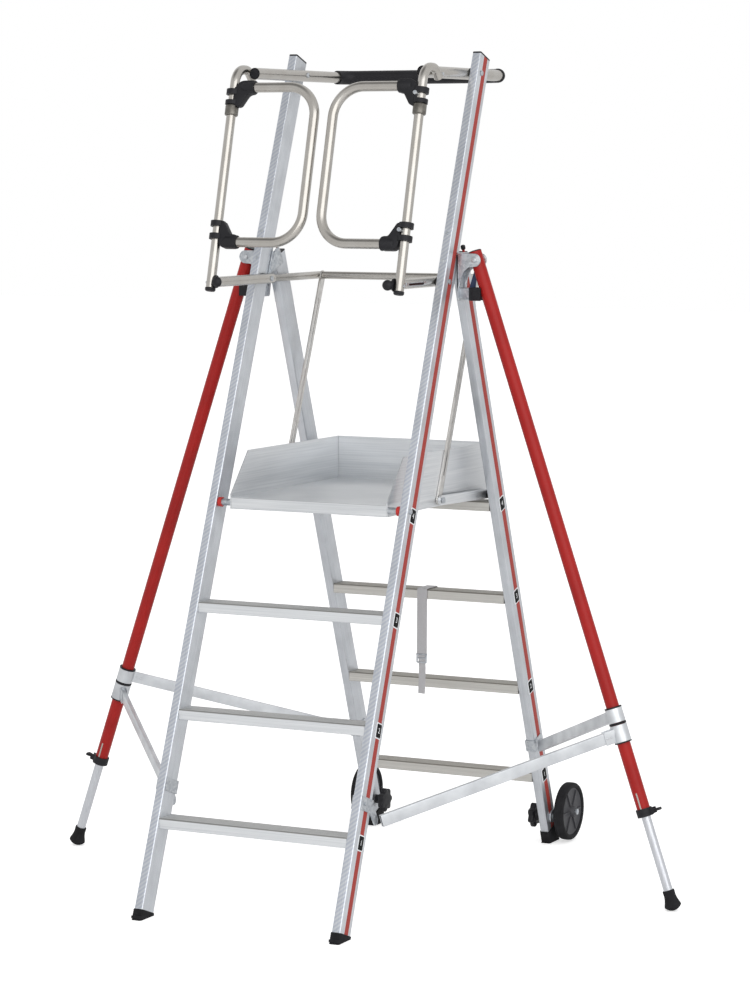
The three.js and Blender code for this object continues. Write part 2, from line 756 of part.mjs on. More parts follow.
// Platform deck: a tray with a box beam in front, its pivots and the link bolts
const deckBottom = deckTop - deckHeight;
const boardOuter = deckHalf + seat + boardThickness;
const linkInner = boardOuter + running;
const linkOuter = linkInner + linkThickness;
const armInner = linkOuter + running;
const armOuter = armInner + armThickness;
const platformSlope = frontSlope(platformPivotY, platformPivotZ);
const pivotReach = frontOuter(platformSlope) - stileWidth - seat;
const linkBoltY = platformPivotY + linkArm;
const linkBolt = 5;
const pivotTip = frontOuter(platformSlope) + 4;
const deckSides = [1, -1];
const deck = join(
  cut(
    block(-deckHalf, deckHalf, deckFront, deckRear, deckBottom, deckTop),
    block(-300, 300, deckFront + 3, deckFront + frontBeam - 3, deckBottom + 3, deckTop - 3),
    block(-deckHalf + 3, deckHalf - 3, deckFront + frontBeam, deckRear - 3, deckBottom - 1, deckTop - 4),
  ),
  block(1 - deckHalf, deckHalf - 1, 700, 704, deckBottom + 2, deckTop - 2),
  ...deckSides.flatMap((side) => [
    rodX(side * (deckHalf - 16), side * (boardOuter + 1), platformPivotY, platformPivotZ, 6),
    rodX(side * (boardOuter + seat), side * pivotReach, platformPivotY, platformPivotZ, 10),
    rodX(side * (pivotReach - 1), side * pivotTip, platformPivotY, platformPivotZ, boltRadius),
    rodX(side * (deckHalf - 2), side * (armOuter + 4), linkBoltY, platformPivotZ, linkBolt),
    rodX(side * (armOuter + seat), side * (armOuter + 5), linkBoltY, platformPivotZ, 9, 3),
  ]),
);
add("platform_deck", deck, aluminium);

// Toe boards
const sideBoard = cut(
  plate(
    [
      [deckFront, deckBottom], [deckRear - 2, deckBottom], [deckRear - 2, boardTop],
      [boardFrontTop, boardTop + 2], [deckFront, deckTop + 7],
    ],
    deckHalf + seat,
    boardOuter,
  ),
  rodX(deckHalf - 5, boardOuter + 5, platformPivotY, platformPivotZ, 6 + seat),
  rodX(deckHalf - 5, boardOuter + 5, linkBoltY, platformPivotZ, linkBolt + seat),
);
addPair("side_toe_board", sideBoard, aluminium);
const rearBoardFront = deckRear + seat;
const rearBoardRear = rearBoardFront + boardThickness;
const rearBoard = block(-boardOuter, boardOuter, rearBoardFront, rearBoardRear, deckBottom, boardTop);
add("rear_toe_board", rearBoard, aluminium);

// Links from the platform to the knee rail: flat bars with a long slot
function bar(y0, z0, y1, z1, width, x0, x1, holes, slotMargin) {
  const length = Math.hypot(y1 - y0, z1 - z0);
  const outline = new THREE.Shape();
  outline.absarc(0, 0, width / 2, Math.PI / 2, Math.PI * 1.5);
  outline.absarc(length, 0, width / 2, -Math.PI / 2, Math.PI / 2);
  for (const x of [0, length]) outline.holes.push(new THREE.Path().absarc(x, 0, holes, 0, Math.PI * 2));
  if (slotMargin) {
    const slot = new THREE.Path();
    slot.absarc(slotMargin, 0, 4, Math.PI / 2, Math.PI * 1.5);
    slot.absarc(length - slotMargin, 0, 4, -Math.PI / 2, Math.PI / 2);
    outline.holes.push(slot);
  }
  const shape = { depth: x1 - x0, bevelEnabled: false, curveSegments: 6 };
  const geometry = new THREE.ExtrudeGeometry(outline, shape);
  const along = point(0, y1 - y0, z1 - z0).normalize();
  const across = point(1, 0, 0).cross(along);
  const lay = new THREE.Matrix4().makeBasis(along, across, point(1, 0, 0));
  return geometry.applyMatrix4(lay.setPosition(x0, y0, z0));
}
const linkHole = linkBolt + running;
const kneeRear = kneePivotY + linkArm;
const link = bar(
  linkBoltY, platformPivotZ, kneeRear, kneePivotZ, linkWidth, linkInner, linkOuter, linkHole, linkSlotMargin,
);
addPair("link_bar", link, satinTube);

// Side arms from the platform to the rear stiles
const armReach = rearOuter(rearSlope(armEndY, armEndZ)) - stileWidth - running;
const sideArm = join(
  bar(linkBoltY, platformPivotZ, armEndY, armEndZ, linkWidth, armInner, armOuter, linkHole, 0),
  block(armOuter - 1, armReach, armEndY - 13, armEndY + 13, armEndZ - 10.5, armEndZ + 10.5),
);
addPair("side_arm", sideArm, aluminium);

// Knee rail: two side tubes, a slimmer rear half, the rear bar and the bolts
const railBolt = (x, y, z, radius) => [
  rodX(railOuter - 1, frontOuter(frontSlope(y, z)) - stileWidth - seat, y, z, radius),
  rodX(railOuter - 2, frontOuter(frontSlope(y, z)) + 3, y, z, boltRadius),
];
function kneeSide(side) {
  const onKnee = (y) => point(side * kneeX, y, kneePivotZ);
  const bolts = railBolt(kneeX, kneePivotY, kneePivotZ, 11);
  const onSide = (bolt) => (side > 0 ? bolt : flipped(bolt.scale(-1, 1, 1)));
  return [
    sleeve(onKnee(kneeFront), onKnee(kneeJoint), kneeTube, kneeTube - tubeWall),
    sleeve(onKnee(kneeJoint - 12), onKnee(kneeRear + 14), kneeTubeRear, kneeTubeRear - tubeWall),
    sleeve(onKnee(kneeJoint - 12), onKnee(kneeJoint), kneeTube - 1, kneeTubeRear - 1),
    rodX(side * (linkInner - 4), side * (kneeX - 8), kneeRear, kneePivotZ, linkBolt),
    ...bolts.map(onSide),
  ];
}
// Turns the faces of a mirrored geometry round again
function flipped(geometry) {
  const loose = geometry.index ? geometry.toNonIndexed() : geometry;
  const p = loose.getAttribute("position");
  for (let i = 0; i < p.count; i += 3) {
    const keep = [p.getX(i + 1), p.getY(i + 1), p.getZ(i + 1)];
    p.setXYZ(i + 1, p.getX(i + 2), p.getY(i + 2), p.getZ(i + 2));
    p.setXYZ(i + 2, ...keep);
  }
  return loose;
}
const kneeRail = join(
  ...kneeSide(1),
  ...kneeSide(-1),
  rodX(-(linkInner - 0.5), linkInner - 0.5, kneeRear, kneePivotZ, kneeTubeRear),
);
add("knee_rail", kneeRail, satinTube);

// Guard rail: one bent tube with the stile bolts and the holes of the post pins
const postPinY = 601;
const postPinZ = guardPivotZ - postPinDrop;
const postTop = guardPivotZ + postRise;
const guardZ = guardPivotZ - guardTubeDrop;
const gripEnd = guardRear - guardBend - gripLap;
const gripLine = bentLine(
  [
    point(guardX, gripEnd, guardZ), point(guardX, guardRear, guardZ),
    point(-guardX, guardRear, guardZ), point(-guardX, gripEnd, guardZ),
  ],
  [guardBend, guardBend],
);
const guardLine = [point(guardX, guardFront, guardZ), ...gripLine, point(-guardX, guardFront, guardZ)];
const guardBolts = railBolt(guardX, guardPivotY, guardPivotZ, 12);
const guardRail = cut(
  join(
    tube(guardLine, annulus(guardTube, guardTube - tubeWall)),
    ...guardBolts,
    ...guardBolts.map((bolt) => flipped(bolt.clone().scale(-1, 1, 1))),
  ),
  rodX(-300, 300, postPinY, postPinZ, boltRadius + running),
);
add("guard_rail", guardRail, satinTube);

// Grip sleeve round the rear bar and both bends of the guard rail
add("grip_sleeve", tube(gripLine, annulus(gripTube, guardTube + seat)), blackPlastic);

// Door posts: a straight tube with a bent top that is pinned to the guard rail
const postAlong = point(0, Math.sin(postLean), Math.cos(postLean));
const postDeep = point(0, Math.cos(postLean), -Math.sin(postLean));
const onPost = (s, n = 0, x = postX) =>
  point(x, postFootY, postFootZ).addScaledVector(postAlong, s).addScaledVector(postDeep, n);
const bendAt = (postTop - postFootZ) / Math.cos(postLean);
const postLine = bentLine(
  [
    onPost(-26),
    onPost(bendAt),
    point(postX, postPinY - 23, postTop),
    point(postX, postPinY - 1, postPinZ - 9),
  ],
  [45, 34],
  5,
);
const springCollarTop = 463;
const post = join(
  tube(postLine, annulus(postTube, postTube - tubeWall)),
  sleeve(onPost(springCollarTop - 27), onPost(springCollarTop), 17.5, postTube - 1),
  rodX(guardX - 8, postX + 4, postPinY, postPinZ, boltRadius),
);
addPair("door_post", post, satinTube);

// Doors: one bent tube each, open towards its post
const doorLine = bentLine(
  [
    onPost(doorTop, 0, doorEnd),
    onPost(doorTop, 0, doorInner),
    onPost(doorBottom, 0, doorInner),
    onPost(doorBottom, 0, doorEnd),
  ],
  [doorBend, doorBend],
);
addPair("door", tube(doorLine, annulus(doorTube, doorTube - tubeWall)), satinTube);

// Door clamps: two eyes round the post, a web and a socket for the tube end
function doorClamp(eyes, bodyFrom, bodyTo, socket) {
  const low = Math.min(eyes[0], bodyFrom);
  const high = Math.max(eyes[3], bodyTo);
  const along = (s0, s1, x0, x1, thick) => {
    const middle = (x0 + x1) / 2;
    return extrudeBetween(rectangle(x1 - x0, thick), onPost(s0, 0, middle), onPost(s1, 0, middle), postDeep);
  };
  return cut(
    join(
      sleeve(onPost(eyes[0]), onPost(eyes[1]), postTube + 7, postTube + running),
      sleeve(onPost(eyes[2]), onPost(eyes[3]), postTube + 7, postTube + running),
      along(low, high, postX - 28, postX - 14, 20),
      along(bodyFrom, bodyTo, 204, clampBody, 34),
    ),
    rod(onPost(low - 9), onPost(high + 9), postTube + running),
    rod(onPost(socket, 0, 190), onPost(socket, 0, doorEnd + seat), doorTube + seat),
  );
}
addPair("upper_door_clamp", doorClamp([464, 475, 492, 506], 493, 527, doorTop), blackPlastic);
addPair("lower_door_clamp", doorClamp([111, 122, 146, 157], 89, 122, doorBottom), blackPlastic);

// Strap: a webbing band hung over a rear rung, with its tail hanging free in front
const strapRung = 2;
const strapTop = firstRearRungTop + strapRung * rearRungPitch;
const strapFront = rearFootY - strapTop * Math.tan(rearLean) + rearRungSetback;
const strapBack = strapFront + rungDepth;
const strapBottom = strapTop - rearRungHeight;
const t = strapThickness;
const strap = plate(
  [
    [strapFront - seat - t, strapTop - strapDrop], [strapFront - seat, strapTop - strapDrop],
    [strapFront - seat, strapTop + seat], [strapBack + seat, strapTop + seat],
    [strapBack + seat, strapBottom - 8], [strapBack + seat + t, strapBottom - 8],
    [strapBack + seat + t, strapTop + seat + t], [strapFront - seat - t, strapTop + seat + t],
  ],
  strapX - strapWidth / 2,
  strapX + strapWidth / 2,
);
add("strap", strap, greyWebbing);

export default stand;
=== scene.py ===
import bpy
import bmesh
from math import cos, hypot, pi, radians, sin, tan, tau
from mathutils import Matrix, Vector


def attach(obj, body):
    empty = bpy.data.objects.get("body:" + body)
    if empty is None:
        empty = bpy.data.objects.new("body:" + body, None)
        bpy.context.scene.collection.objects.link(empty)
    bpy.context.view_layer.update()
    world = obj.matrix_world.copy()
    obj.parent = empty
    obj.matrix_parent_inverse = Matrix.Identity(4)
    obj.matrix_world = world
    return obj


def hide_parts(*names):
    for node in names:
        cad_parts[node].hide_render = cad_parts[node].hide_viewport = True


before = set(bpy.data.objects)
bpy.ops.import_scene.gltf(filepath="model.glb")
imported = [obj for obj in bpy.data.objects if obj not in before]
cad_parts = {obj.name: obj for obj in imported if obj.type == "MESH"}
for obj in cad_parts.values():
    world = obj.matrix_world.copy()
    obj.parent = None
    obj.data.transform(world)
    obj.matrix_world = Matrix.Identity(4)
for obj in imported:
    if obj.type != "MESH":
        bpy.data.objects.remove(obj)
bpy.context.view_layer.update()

# The camera stands in front of the stand and to its right, at the height of a person's eyes.
# All sizes in this file are in millimetres, measured from the floor under the front stiles.
middle_y = 715.43
camera_data = bpy.data.cameras.new("camera")
camera_data.sensor_fit = "VERTICAL"
camera_data.sensor_height = 36
camera_data.lens = 116.07
camera = bpy.data.objects.new("camera", camera_data)
camera.location = Vector((3780.56, -6781.80 - middle_y, 1888.53)) / 1000
camera.rotation_euler = (radians(90 - 6.048), 0, radians(26.574))
bpy.context.scene.collection.objects.link(camera)
bpy.context.scene.camera = camera
bpy.context.scene.view_settings.view_transform = "Standard"

# The front stiles are box extrusions of satin aluminium. Their front faces carry fine slanting
# lines and their outer faces a red stripe. A thin black cap closes the top of each one.
front_lean = radians(20.94)
front_length = 2316
stile_wide = 24
stile_deep = 60


def linear(code):
    """The linear values of a colour, from its six hex digits."""
    parts = [int(code[i:i + 2], 16) / 255 for i in (0, 2, 4)]
    return tuple(c / 12.92 if c <= 0.04045 else ((c + 0.055) / 1.055) ** 2.4 for c in parts) + (1,)


def add(tree, kind, settings=()):
    """A node. A key in small letters sets the node, any other an input, by value or by link."""
    made = tree.nodes.new("ShaderNode" + kind)
    for key, value in dict(settings).items():
        if isinstance(key, str) and key.islower():
            setattr(made, key, value)
        elif isinstance(value, bpy.types.NodeSocket):
            tree.links.new(value, made.inputs[key])
        else:
            made.inputs[key].default_value = value
    return made


def calc(tree, operation, *terms):
    """A sum of numbers and sockets."""
    return add(tree, "Math", {"operation": operation, **dict(enumerate(terms))}).outputs[0]


def spread(tree, source, low, high, start=0.0, end=1.0):
    """Carries the range from start to end over to the range from low to high."""
    ends = {"From Min": start, "From Max": end, "To Min": low, "To Max": high}
    return add(tree, "MapRange", {**ends, 0: source}).outputs[0]


def mix(tree, first, second, part, blend="MIX"):
    settings = {"data_type": "RGBA", "blend_type": blend, 0: part, 6: first, 7: second}
    return add(tree, "Mix", settings).outputs[2]


def two_tones(tree, source, low, high, start=0.0, end=1.0):
    tones = add(tree, "ValToRGB", {0: source})
    for i, (code, position) in enumerate(((low, start), (high, end))):
        tones.color_ramp.elements[i].position = position
        tones.color_ramp.elements[i].color = linear(code)
    return tones.outputs[0]


def noise(tree, scale, detail=2.0):
    """Noise in the piece's own space. A scale for each axis stretches it."""
    at = add(tree, "TexCoord").outputs["Object"]
    if isinstance(scale, tuple):
        at = add(tree, "Mapping", {"Scale": scale, "Vector": at}).outputs[0]
        scale = 1.0
    return add(tree, "TexNoise", {"Scale": scale, "Detail": detail, "Vector": at}).outputs[0]


def relief(tree, shader, height, strength, depth):
    bump = add(tree, "Bump", {"Strength": strength, "Distance": depth, "Height": height})
    tree.links.new(bump.outputs[0], shader.inputs["Normal"])


def start_material(name, **sockets):
    material = bpy.data.materials.new(name)
    material.use_nodes = True
    tree = material.node_tree
    shader = tree.nodes["Principled BSDF"]
    for key, value in sockets.items():
        shader.inputs[key.replace("_", " ")].default_value = value
    return material, tree, shader


def finish(name, tones=None, rough=None, bump=None, **sockets):
    """A material whose tones, roughness and relief each follow a noise.

    All three start with the noise's scale and detail. Then come two tones with their places on
    the noise, the two ends of the roughness, or the strength and the depth of the relief."""
    material, tree, shader = start_material(name, **sockets)
    if tones:
        colour = two_tones(tree, noise(tree, *tones[:2]), *tones[2:])
        tree.links.new(colour, shader.inputs["Base Color"])
    if rough:
        shine = spread(tree, noise(tree, *rough[:2]), *rough[2:])
        tree.links.new(shine, shader.inputs["Roughness"])
    if bump:
        relief(tree, shader, noise(tree, *bump[:2]), *bump[2:])
    return material


def along_lean(tree, lean, foot):
    """Millimetres across, behind the front face and up the slope of a leaning frame."""
    place = add(tree, "SeparateXYZ", {0: add(tree, "NewGeometry").outputs["Position"]})
    x, z = [calc(tree, "MULTIPLY", place.outputs[i], 1000) for i in (0, 2)]
    y = calc(tree, "MULTIPLY_ADD", place.outputs[1], 1000, middle_y - foot)
    deep = calc(tree, "MULTIPLY_ADD", z, -sin(lean), calc(tree, "MULTIPLY", y, cos(lean)))
    up = calc(tree, "MULTIPLY_ADD", z, cos(lean), calc(tree, "MULTIPLY", y, sin(lean)))
    return x, deep, up


def lean_noise(tree, ways, scales, detail):
    spot = [calc(tree, "MULTIPLY", way, scale) for way, scale in zip(ways, scales)]
    at = add(tree, "CombineXYZ", dict(enumerate(spot))).outputs[0]
    return add(tree, "TexNoise", {"Scale": 1.0, "Detail": detail, "Vector": at}).outputs[0]


def stile_material(name, lean, foot, tone):
    material, tree, shader = start_material(name, Specular_IOR_Level=0.1)
    x, deep, up = along_lean(tree, lean, foot)
    # Drawing lines of the extrusion, 0.5 mm apart and 300 mm long, and clouds 60 mm across
    lines = lean_noise(tree, (x, deep, up), (2, 2, 1 / 300), 3.0)
    cloud = lean_noise(tree, (x, deep, up), (1 / 60, 1 / 60, 1 / 60), 2.0)
    tones = two_tones(tree, lines, *tone, 0.3, 0.7)
    clouded = mix(tree, tones, spread(tree, cloud, 0.86, 1.0, 0.3, 0.7), 1.0, "MULTIPLY")
    # The front face carries a slanting pattern, one line each 12 mm
    normal = add(tree, "NewGeometry").outputs["Normal"]
    ahead = {"operation": "DOT_PRODUCT", 0: normal, 1: (0, -cos(lean), abs(sin(lean)))}
    front = calc(tree, "GREATER_THAN", add(tree, "VectorMath", ahead).outputs["Value"], 0.8)
    wave = calc(tree, "MULTIPLY_ADD", up, tau / 12, calc(tree, "MULTIPLY", x, -tau / 14))
    hatch = calc(tree, "MULTIPLY", calc(tree, "SINE", wave), front)
    shade = calc(tree, "MULTIPLY", spread(tree, hatch, 0.0, 1.0, -1.0, 1.0), front)
    shaded = mix(tree, clouded, linear("e6e9f1"), shade, "MULTIPLY")
    # The stripe on the outer face is 21 mm wide, with its middle 33 mm behind the front face
    off = calc(tree, "ABSOLUTE", calc(tree, "SUBTRACT", deep, 33))
    outward = calc(tree, "MULTIPLY", add(tree, "SeparateXYZ", {0: normal}).outputs[0], x)
    outer = calc(tree, "GREATER_THAN", outward, 100)
    stripe = calc(tree, "MULTIPLY", calc(tree, "LESS_THAN", off, 10.5), outer)
    colour = mix(tree, shaded, linear("a23c35"), stripe)
    tree.links.new(colour, shader.inputs["Base Color"])
    tree.links.new(spread(tree, stripe, 0.85, 0.0), shader.inputs["Metallic"])
    tree.links.new(spread(tree, lines, 0.28, 0.46), shader.inputs["Roughness"])
    relief(tree, shader, calc(tree, "MULTIPLY_ADD", hatch, 0.15, lines), 0.2, 0.0003)
    return material


front_tones = ("c3c7cd", "e2e5e9")
satin_aluminium_front = stile_material("extruded_aluminium_front", front_lean, 0, front_tones)

# Black moulded plastic: a fine spark texture of 0.8 mm that breaks up the shine
black_moulding = finish("moulded_black_plastic", (45, 3, "19191c", "232327"), (45, 3, 0.35, 0.6),
                        (1200, 2, 0.25, 0.0002), Specular_IOR_Level=0.25)


def arc(middle, radius, first, last, steps):
    """Points on an arc, from one angle in degrees to another."""
    turns = [radians(first + (last - first) * i / steps) for i in range(steps + 1)]
    return [(middle[0] + radius * cos(t), middle[1] + radius * sin(t)) for t in turns]


def circle(radius, count=28):
    return arc((0, 0), radius, 0, 360 - 360 / count, count - 1)


def rounded(wide, high, corner, steps=4):
    """A rectangle with round corners, as a loop of points."""
    loop = []
    for k, (sx, sy) in enumerate(((1, 1), (-1, 1), (-1, -1), (1, -1))):
        cx, cy = sx * (wide / 2 - corner), sy * (high / 2 - corner)
        for i in range(steps + 1):
            turn = pi / 2 * (k + i / steps)
            loop.append((cx + corner * cos(turn), cy + corner * sin(turn)))
    return loop


def skin(bm, rings, capped=False):
    """Faces between each ring of points and the next, and over both ends."""
    for a, b in zip(rings, rings[1:]):
        for i in range(len(a)):
            j = (i + 1) % len(a)
            bm.faces.new((a[i], a[j], b[j], b[i]))
    if capped:
        bm.faces.new(rings[0])
        bm.faces.new(rings[-1])


def sweep(bm, path, outer, inner=None, up=(0, 0, 1), foot=None):
    """Carries a loop of points along a path. With an inner loop the bar is a tube, open at both ends.

    The first end can be cut level with the floor, at a height called its foot."""
    path = [Vector(p) for p in path]
    side = Vector(up)
    rings = []
    for i, p in enumerate(path):
        along = (path[min(i + 1, len(path) - 1)] - path[max(i - 1, 0)]).normalized()
        side = (side - along * side.dot(along)).normalized()
        across = side.cross(along)
        ring = []
        for loop in (outer, inner) if inner else (outer,):
            spots = [p + across * x + side * y for x, y in loop]
            if i == 0 and foot is not None:
                spots = [s + along * ((foot - s.z) / along.z) for s in spots]
            ring.append([bm.verts.new(s) for s in spots])
        rings.append(ring)
    for track in zip(*rings):
        skin(bm, track, not inner)
    if inner:
        skin(bm, rings[0])
        skin(bm, rings[-1])


def piece(name, draw, material, body, replaces=(), edge=0.0, side=1, smooth=35):
    """A mesh piece, drawn in millimetres and set in the frame, mirrored for the left side."""
    bm = bmesh.new()
    draw(bm)
    to_metres = Matrix.Diagonal((side / 1000, 1 / 1000, 1 / 1000, 1))
    bm.transform(to_metres @ Matrix.Translation((0, -middle_y, 0)))
    bmesh.ops.remove_doubles(bm, verts=bm.verts, dist=1e-6)
    bmesh.ops.recalc_face_normals(bm, faces=bm.faces)
    mesh = bpy.data.meshes.new(name)
    bm.to_mesh(mesh)
    bm.free()
    mesh.polygons.foreach_set("use_smooth", [True] * len(mesh.polygons))
    mesh.set_sharp_from_angle(angle=radians(smooth))
    mesh.materials.append(material)
    made = bpy.data.objects.new(name, mesh)
    bpy.context.scene.collection.objects.link(made)
    if edge:
        bevel = made.modifiers.new("soft_edges", "BEVEL")
        bevel.width = edge / 1000
        bevel.segments = 2
        bevel.limit_method = "ANGLE"
        bevel.angle_limit = radians(40)
    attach(made, body)
    if replaces:
        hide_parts(*replaces)
    return made


def pair(name, draw, material, body, replaces=(), edge=0.0, smooth=35):
    """The same piece on the right and the left. An @ in a body's or a node's name takes the side."""
    for side, word in ((1, "right"), (-1, "left")):
        nodes = [n.replace("@", word) for n in replaces]
        piece(f"{name}_{word}", draw, material, body.replace("@", word), nodes, edge, side, smooth)


def on_front(s, d, x):
    a = front_lean
    return Vector((x, s * sin(a) + d * cos(a), s * cos(a) - d * sin(a)))


def front_middle(s):
    return 289.2 - 0.004 * s - stile_wide / 2


def front_run(low, high):
    """The middle of a front stile, from one distance up the slope to another."""
    return [on_front(s, stile_deep / 2, front_middle(s)) for s in (low, high)]


def stile_section(more, corner):
    return rounded(stile_wide + more, stile_deep + more, corner)


front_deep = (0, cos(front_lean), -sin(front_lean))


def draw_front_stile(bm):
    run = front_run(20, front_length - 4.5)
    sweep(bm, run, stile_section(0, 3.5), stile_section(-4, 1.5), front_deep, foot=7)


pair("front_stile_extrusion", draw_front_stile, satin_aluminium_front, "front_ladder",
     ["front_stile_@"], edge=0.4)


def draw_front_cap(bm):
    for low, more, corner in ((20, -5, 1.5), (4.7, 0, 3.5)):
        run = front_run(front_length - low, front_length - (4.7 if more else 0))
        sweep(bm, run, stile_section(more, corner), None, front_deep)
pair("front_stile_cap", draw_front_cap, black_moulding, "front_ladder", edge=0.8)

# The strut bracket is a steel strap folded round the stile, with a lug behind it that holds the
# strut's peg. It is zinc plated: a bluish grey with faint crystals about 6 mm across.
zinc_steel, tree, shader = start_material("zinc_plated_steel", Metallic=0.9)
at = add(tree, "TexCoord").outputs["Object"]
crystals = add(tree, "TexVoronoi", {"Scale": 160.0, "Vector": at}).outputs["Color"]
veil = noise(tree, 60, 4)
clouded = mix(tree, two_tones(tree, crystals, "a3a9b0", "cdd0d3"), veil, 0.5, "SOFT_LIGHT")
tree.links.new(clouded, shader.inputs["Base Color"])
tree.links.new(spread(tree, veil, 0.3, 0.5), shader.inputs["Roughness"])


def u_section(half, low, high, wall, opening):
    """A folded strap's section: open at the low side or the high side."""
    near, far = (low, high) if opening == "low" else (high, low)
    fold = wall if far > near else -wall
    outside = [(-half, near), (-half, far), (half, far), (half, near)]
    inside = [(half - wall, near), (half - wall, far - fold), (wall - half, far - fold),
              (wall - half, near)]
    return outside + inside


def cut_plate(bm, loops, at, thick, soft=0.4):
    """A flat plate with holes: loops of points in the plane of the matrix, thick along its Z."""
    curve = bpy.data.curves.new("outline", "CURVE")
    curve.dimensions = "2D"
    curve.fill_mode = "BOTH"
    curve.extrude = thick / 2 - soft
    curve.bevel_depth = soft
    curve.bevel_resolution = 1
    curve.offset = -soft
    for loop in loops:
        spline = curve.splines.new("POLY")
        spline.points.add(len(loop) - 1)
        for spot, (x, y) in zip(spline.points, loop):
            spot.co = (x, y, 0, 1)
        spline.use_cyclic_u = True
    holder = bpy.data.objects.new("outline", curve)
    mesh = bpy.data.meshes.new_from_object(holder)
    mesh.transform(at @ Matrix.Translation((0, 0, thick / 2)))
    bm.from_mesh(mesh)
    bpy.data.meshes.remove(mesh)
    bpy.data.objects.remove(holder)
    bpy.data.curves.remove(curve)


def side_plane(x):
    """A plane across X: outlines in it are Y and Z, and it thickens outwards."""
    return Matrix(((0, 0, 1, x), (1, 0, 0, 0), (0, 1, 0, 0), (0, 0, 0, 1)))


def front_plane(y):
    """A plane across Y: outlines in it are X and Z, and it thickens forwards."""
    return Matrix(((1, 0, 0, 0), (0, 0, -1, y), (0, 1, 0, 0), (0, 0, 0, 1)))


def round_outline(corners, radius, steps=4):
    """Rounds the corners of an outline by about the given radius."""
    loop = []
    count = len(corners)
    for i in range(count):
        here = Vector(corners[i])
        back = Vector(corners[i - 1]) - here
        ahead = Vector(corners[(i + 1) % count]) - here
        reach = min(radius, back.length * 0.45, ahead.length * 0.45)
        start, end = here + back.normalized() * reach, here + ahead.normalized() * reach
        for k in range(steps + 1):
            t = k / steps
            spot = start * (1 - t) ** 2 + here * 2 * t * (1 - t) + end * t ** 2
            loop.append((spot.x, spot.y))
    return loop


def bolt(bm, start, end, radius, sides=6, dome=0.0):
    """A bolt head or a nut, or with many sides a pin."""
    start, end = Vector(start), Vector(end)
    up = (0, 0, 1) if abs((end - start).normalized().z) < 0.9 else (0, 1, 0)
    sweep(bm, [start, end], circle(radius, sides), None, up)
    if dome:
        along = (end - start).normalized()
        levels = [(dome * sin(t), radius * 0.8 * cos(t)) for t in (0, 0.5, 1.0, 1.35)]
        side = Vector(up)
        across = side.cross(along).normalized()
        side = along.cross(across)
        rings = []
        for h, r in levels:
            centre = end + along * h
            rings.append([bm.verts.new(centre + across * x + side * y) for x, y in circle(r, 20)])
        skin(bm, rings, True)


def cross_bolt(bm, start, end, at, *form):
    """A bolt that runs across the stand, from one x to another."""
    bolt(bm, (start, *at), (end, *at), *form)


def draw_front_rivets(bm):
    for s, x in ((1746, 268.5), (1820, 268)):
        start = on_front(s, 0.4, x)
        bolt(bm, start, start - Vector(front_deep) * 1.2, 4.5, 20, 0.6)


pair("front_stile_rivets", draw_front_rivets, zinc_steel, "front_ladder")


def draw_front_bracket(bm):
    sweep(bm, front_run(333, 367), u_section(14.5, -27, 33, 2.3, "low"), None, front_deep)
    lug = [(172, 318), (192, 310), (216, 270), (213, 256), (200, 254), (176, 290)]
    cut_plate(bm, [round_outline(lug, 5)], side_plane(284.8), 4)
    head = on_front(350, 20, front_middle(350) + 14.5)
    bolt(bm, head, head + Vector((3, 0, 0)), 5)


pair("front_strut_bracket", draw_front_bracket, zinc_steel, "front_ladder", edge=0.5)

# The shoes are black rubber cups with a square-cut sole, pushed over the ends of the stiles.
# Rubber is dull, with a dusty bloom in soft patches about 20 mm across.
dull_rubber = finish("moulded_rubber", (50, 4, "18181a", "262629", 0.35, 0.75), None,
                     (900, 2, 0.3, 0.0003), Roughness=0.75, Specular_IOR_Level=0.2)


def draw_shoe(bm, run, deep, lean, sole_y, way):
    """A cup round the end of a stile, with a sole that lies flat on the floor."""
    sweep(bm, run, stile_section(4, 5), stile_section(0.5, 3.5), deep, foot=0.1)
    sole = rounded(stile_wide + 3.8, (stile_deep + 3.8) / cos(lean), 4)
    sweep(bm, [(run[0].x, sole_y, 0), (run[0].x, sole_y + way, 6)], sole, None, (0, 1, 0))
    for v in bm.verts:
        v.co.z = max(v.co.z, 0)


def draw_front_shoe(bm):
    for s in (16, 21, 26):
        sweep(bm, front_run(s - 1, s + 1), stile_section(4.6, 5.2), stile_section(1, 3.5), front_deep)
    draw_shoe(bm, front_run(0, 29), front_deep, front_lean, on_front(4, 30, 0).y, 1)


pair("front_shoe_moulding", draw_front_shoe, dull_rubber, "front_ladder",
     ["front_shoe_@"], edge=0.8)

# The rungs are box extrusions with a ribbed tread, set between the stiles. The tread's darker warm
# grey is painted shade on the faces that point up, the front face is bright.
rung_deep = 62
ribs = 6


def rung_material(name, low, high):
    material, tree, shader = start_material(name, Metallic=0.85, Roughness=0.4)
    lines = noise(tree, (3, 900, 900))
    facing = add(tree, "SeparateXYZ", {0: add(tree, "NewGeometry").outputs["Normal"]})
    top = spread(tree, facing.outputs[2], 0.0, 0.75, 0.2, 0.6)
    tones = two_tones(tree, lines, low, high, 0.3, 0.7)
    # Faces that point up are multiplied by a warm grey: painted shade on the tread.
    tread_painted_shade = mix(tree, tones, linear("b3afa8"), top, "MULTIPLY")
    tree.links.new(tread_painted_shade, shader.inputs["Base Color"])
    relief(tree, shader, lines, 0.2, 0.0003)
    return material


front_rung_aluminium = rung_material("extruded_aluminium_front_rung", "cfd2d5", "e6e8ea")


def rung_section(deep, high):
    loop = [(-deep / 2, 1.5), (1.5 - deep / 2, 0), (deep / 2 - 1.5, 0), (deep / 2, 1.5)]
    loop += [(deep / 2, high - 3), (deep / 2 - 2, high - 1)]
    pitch = (deep - 6) / ribs
    for i in range(ribs):
        right = deep / 2 - 3 - i * pitch
        loop += [(right, high), (right - pitch * 0.5, high)]
        loop += [(right - pitch * 0.58, high - 1.8), (right - pitch * 0.92, high - 1.8)]
    loop += [(3 - deep / 2, high), (-deep / 2, high - 3)]
    return [(x, y - high) for x, y in loop]


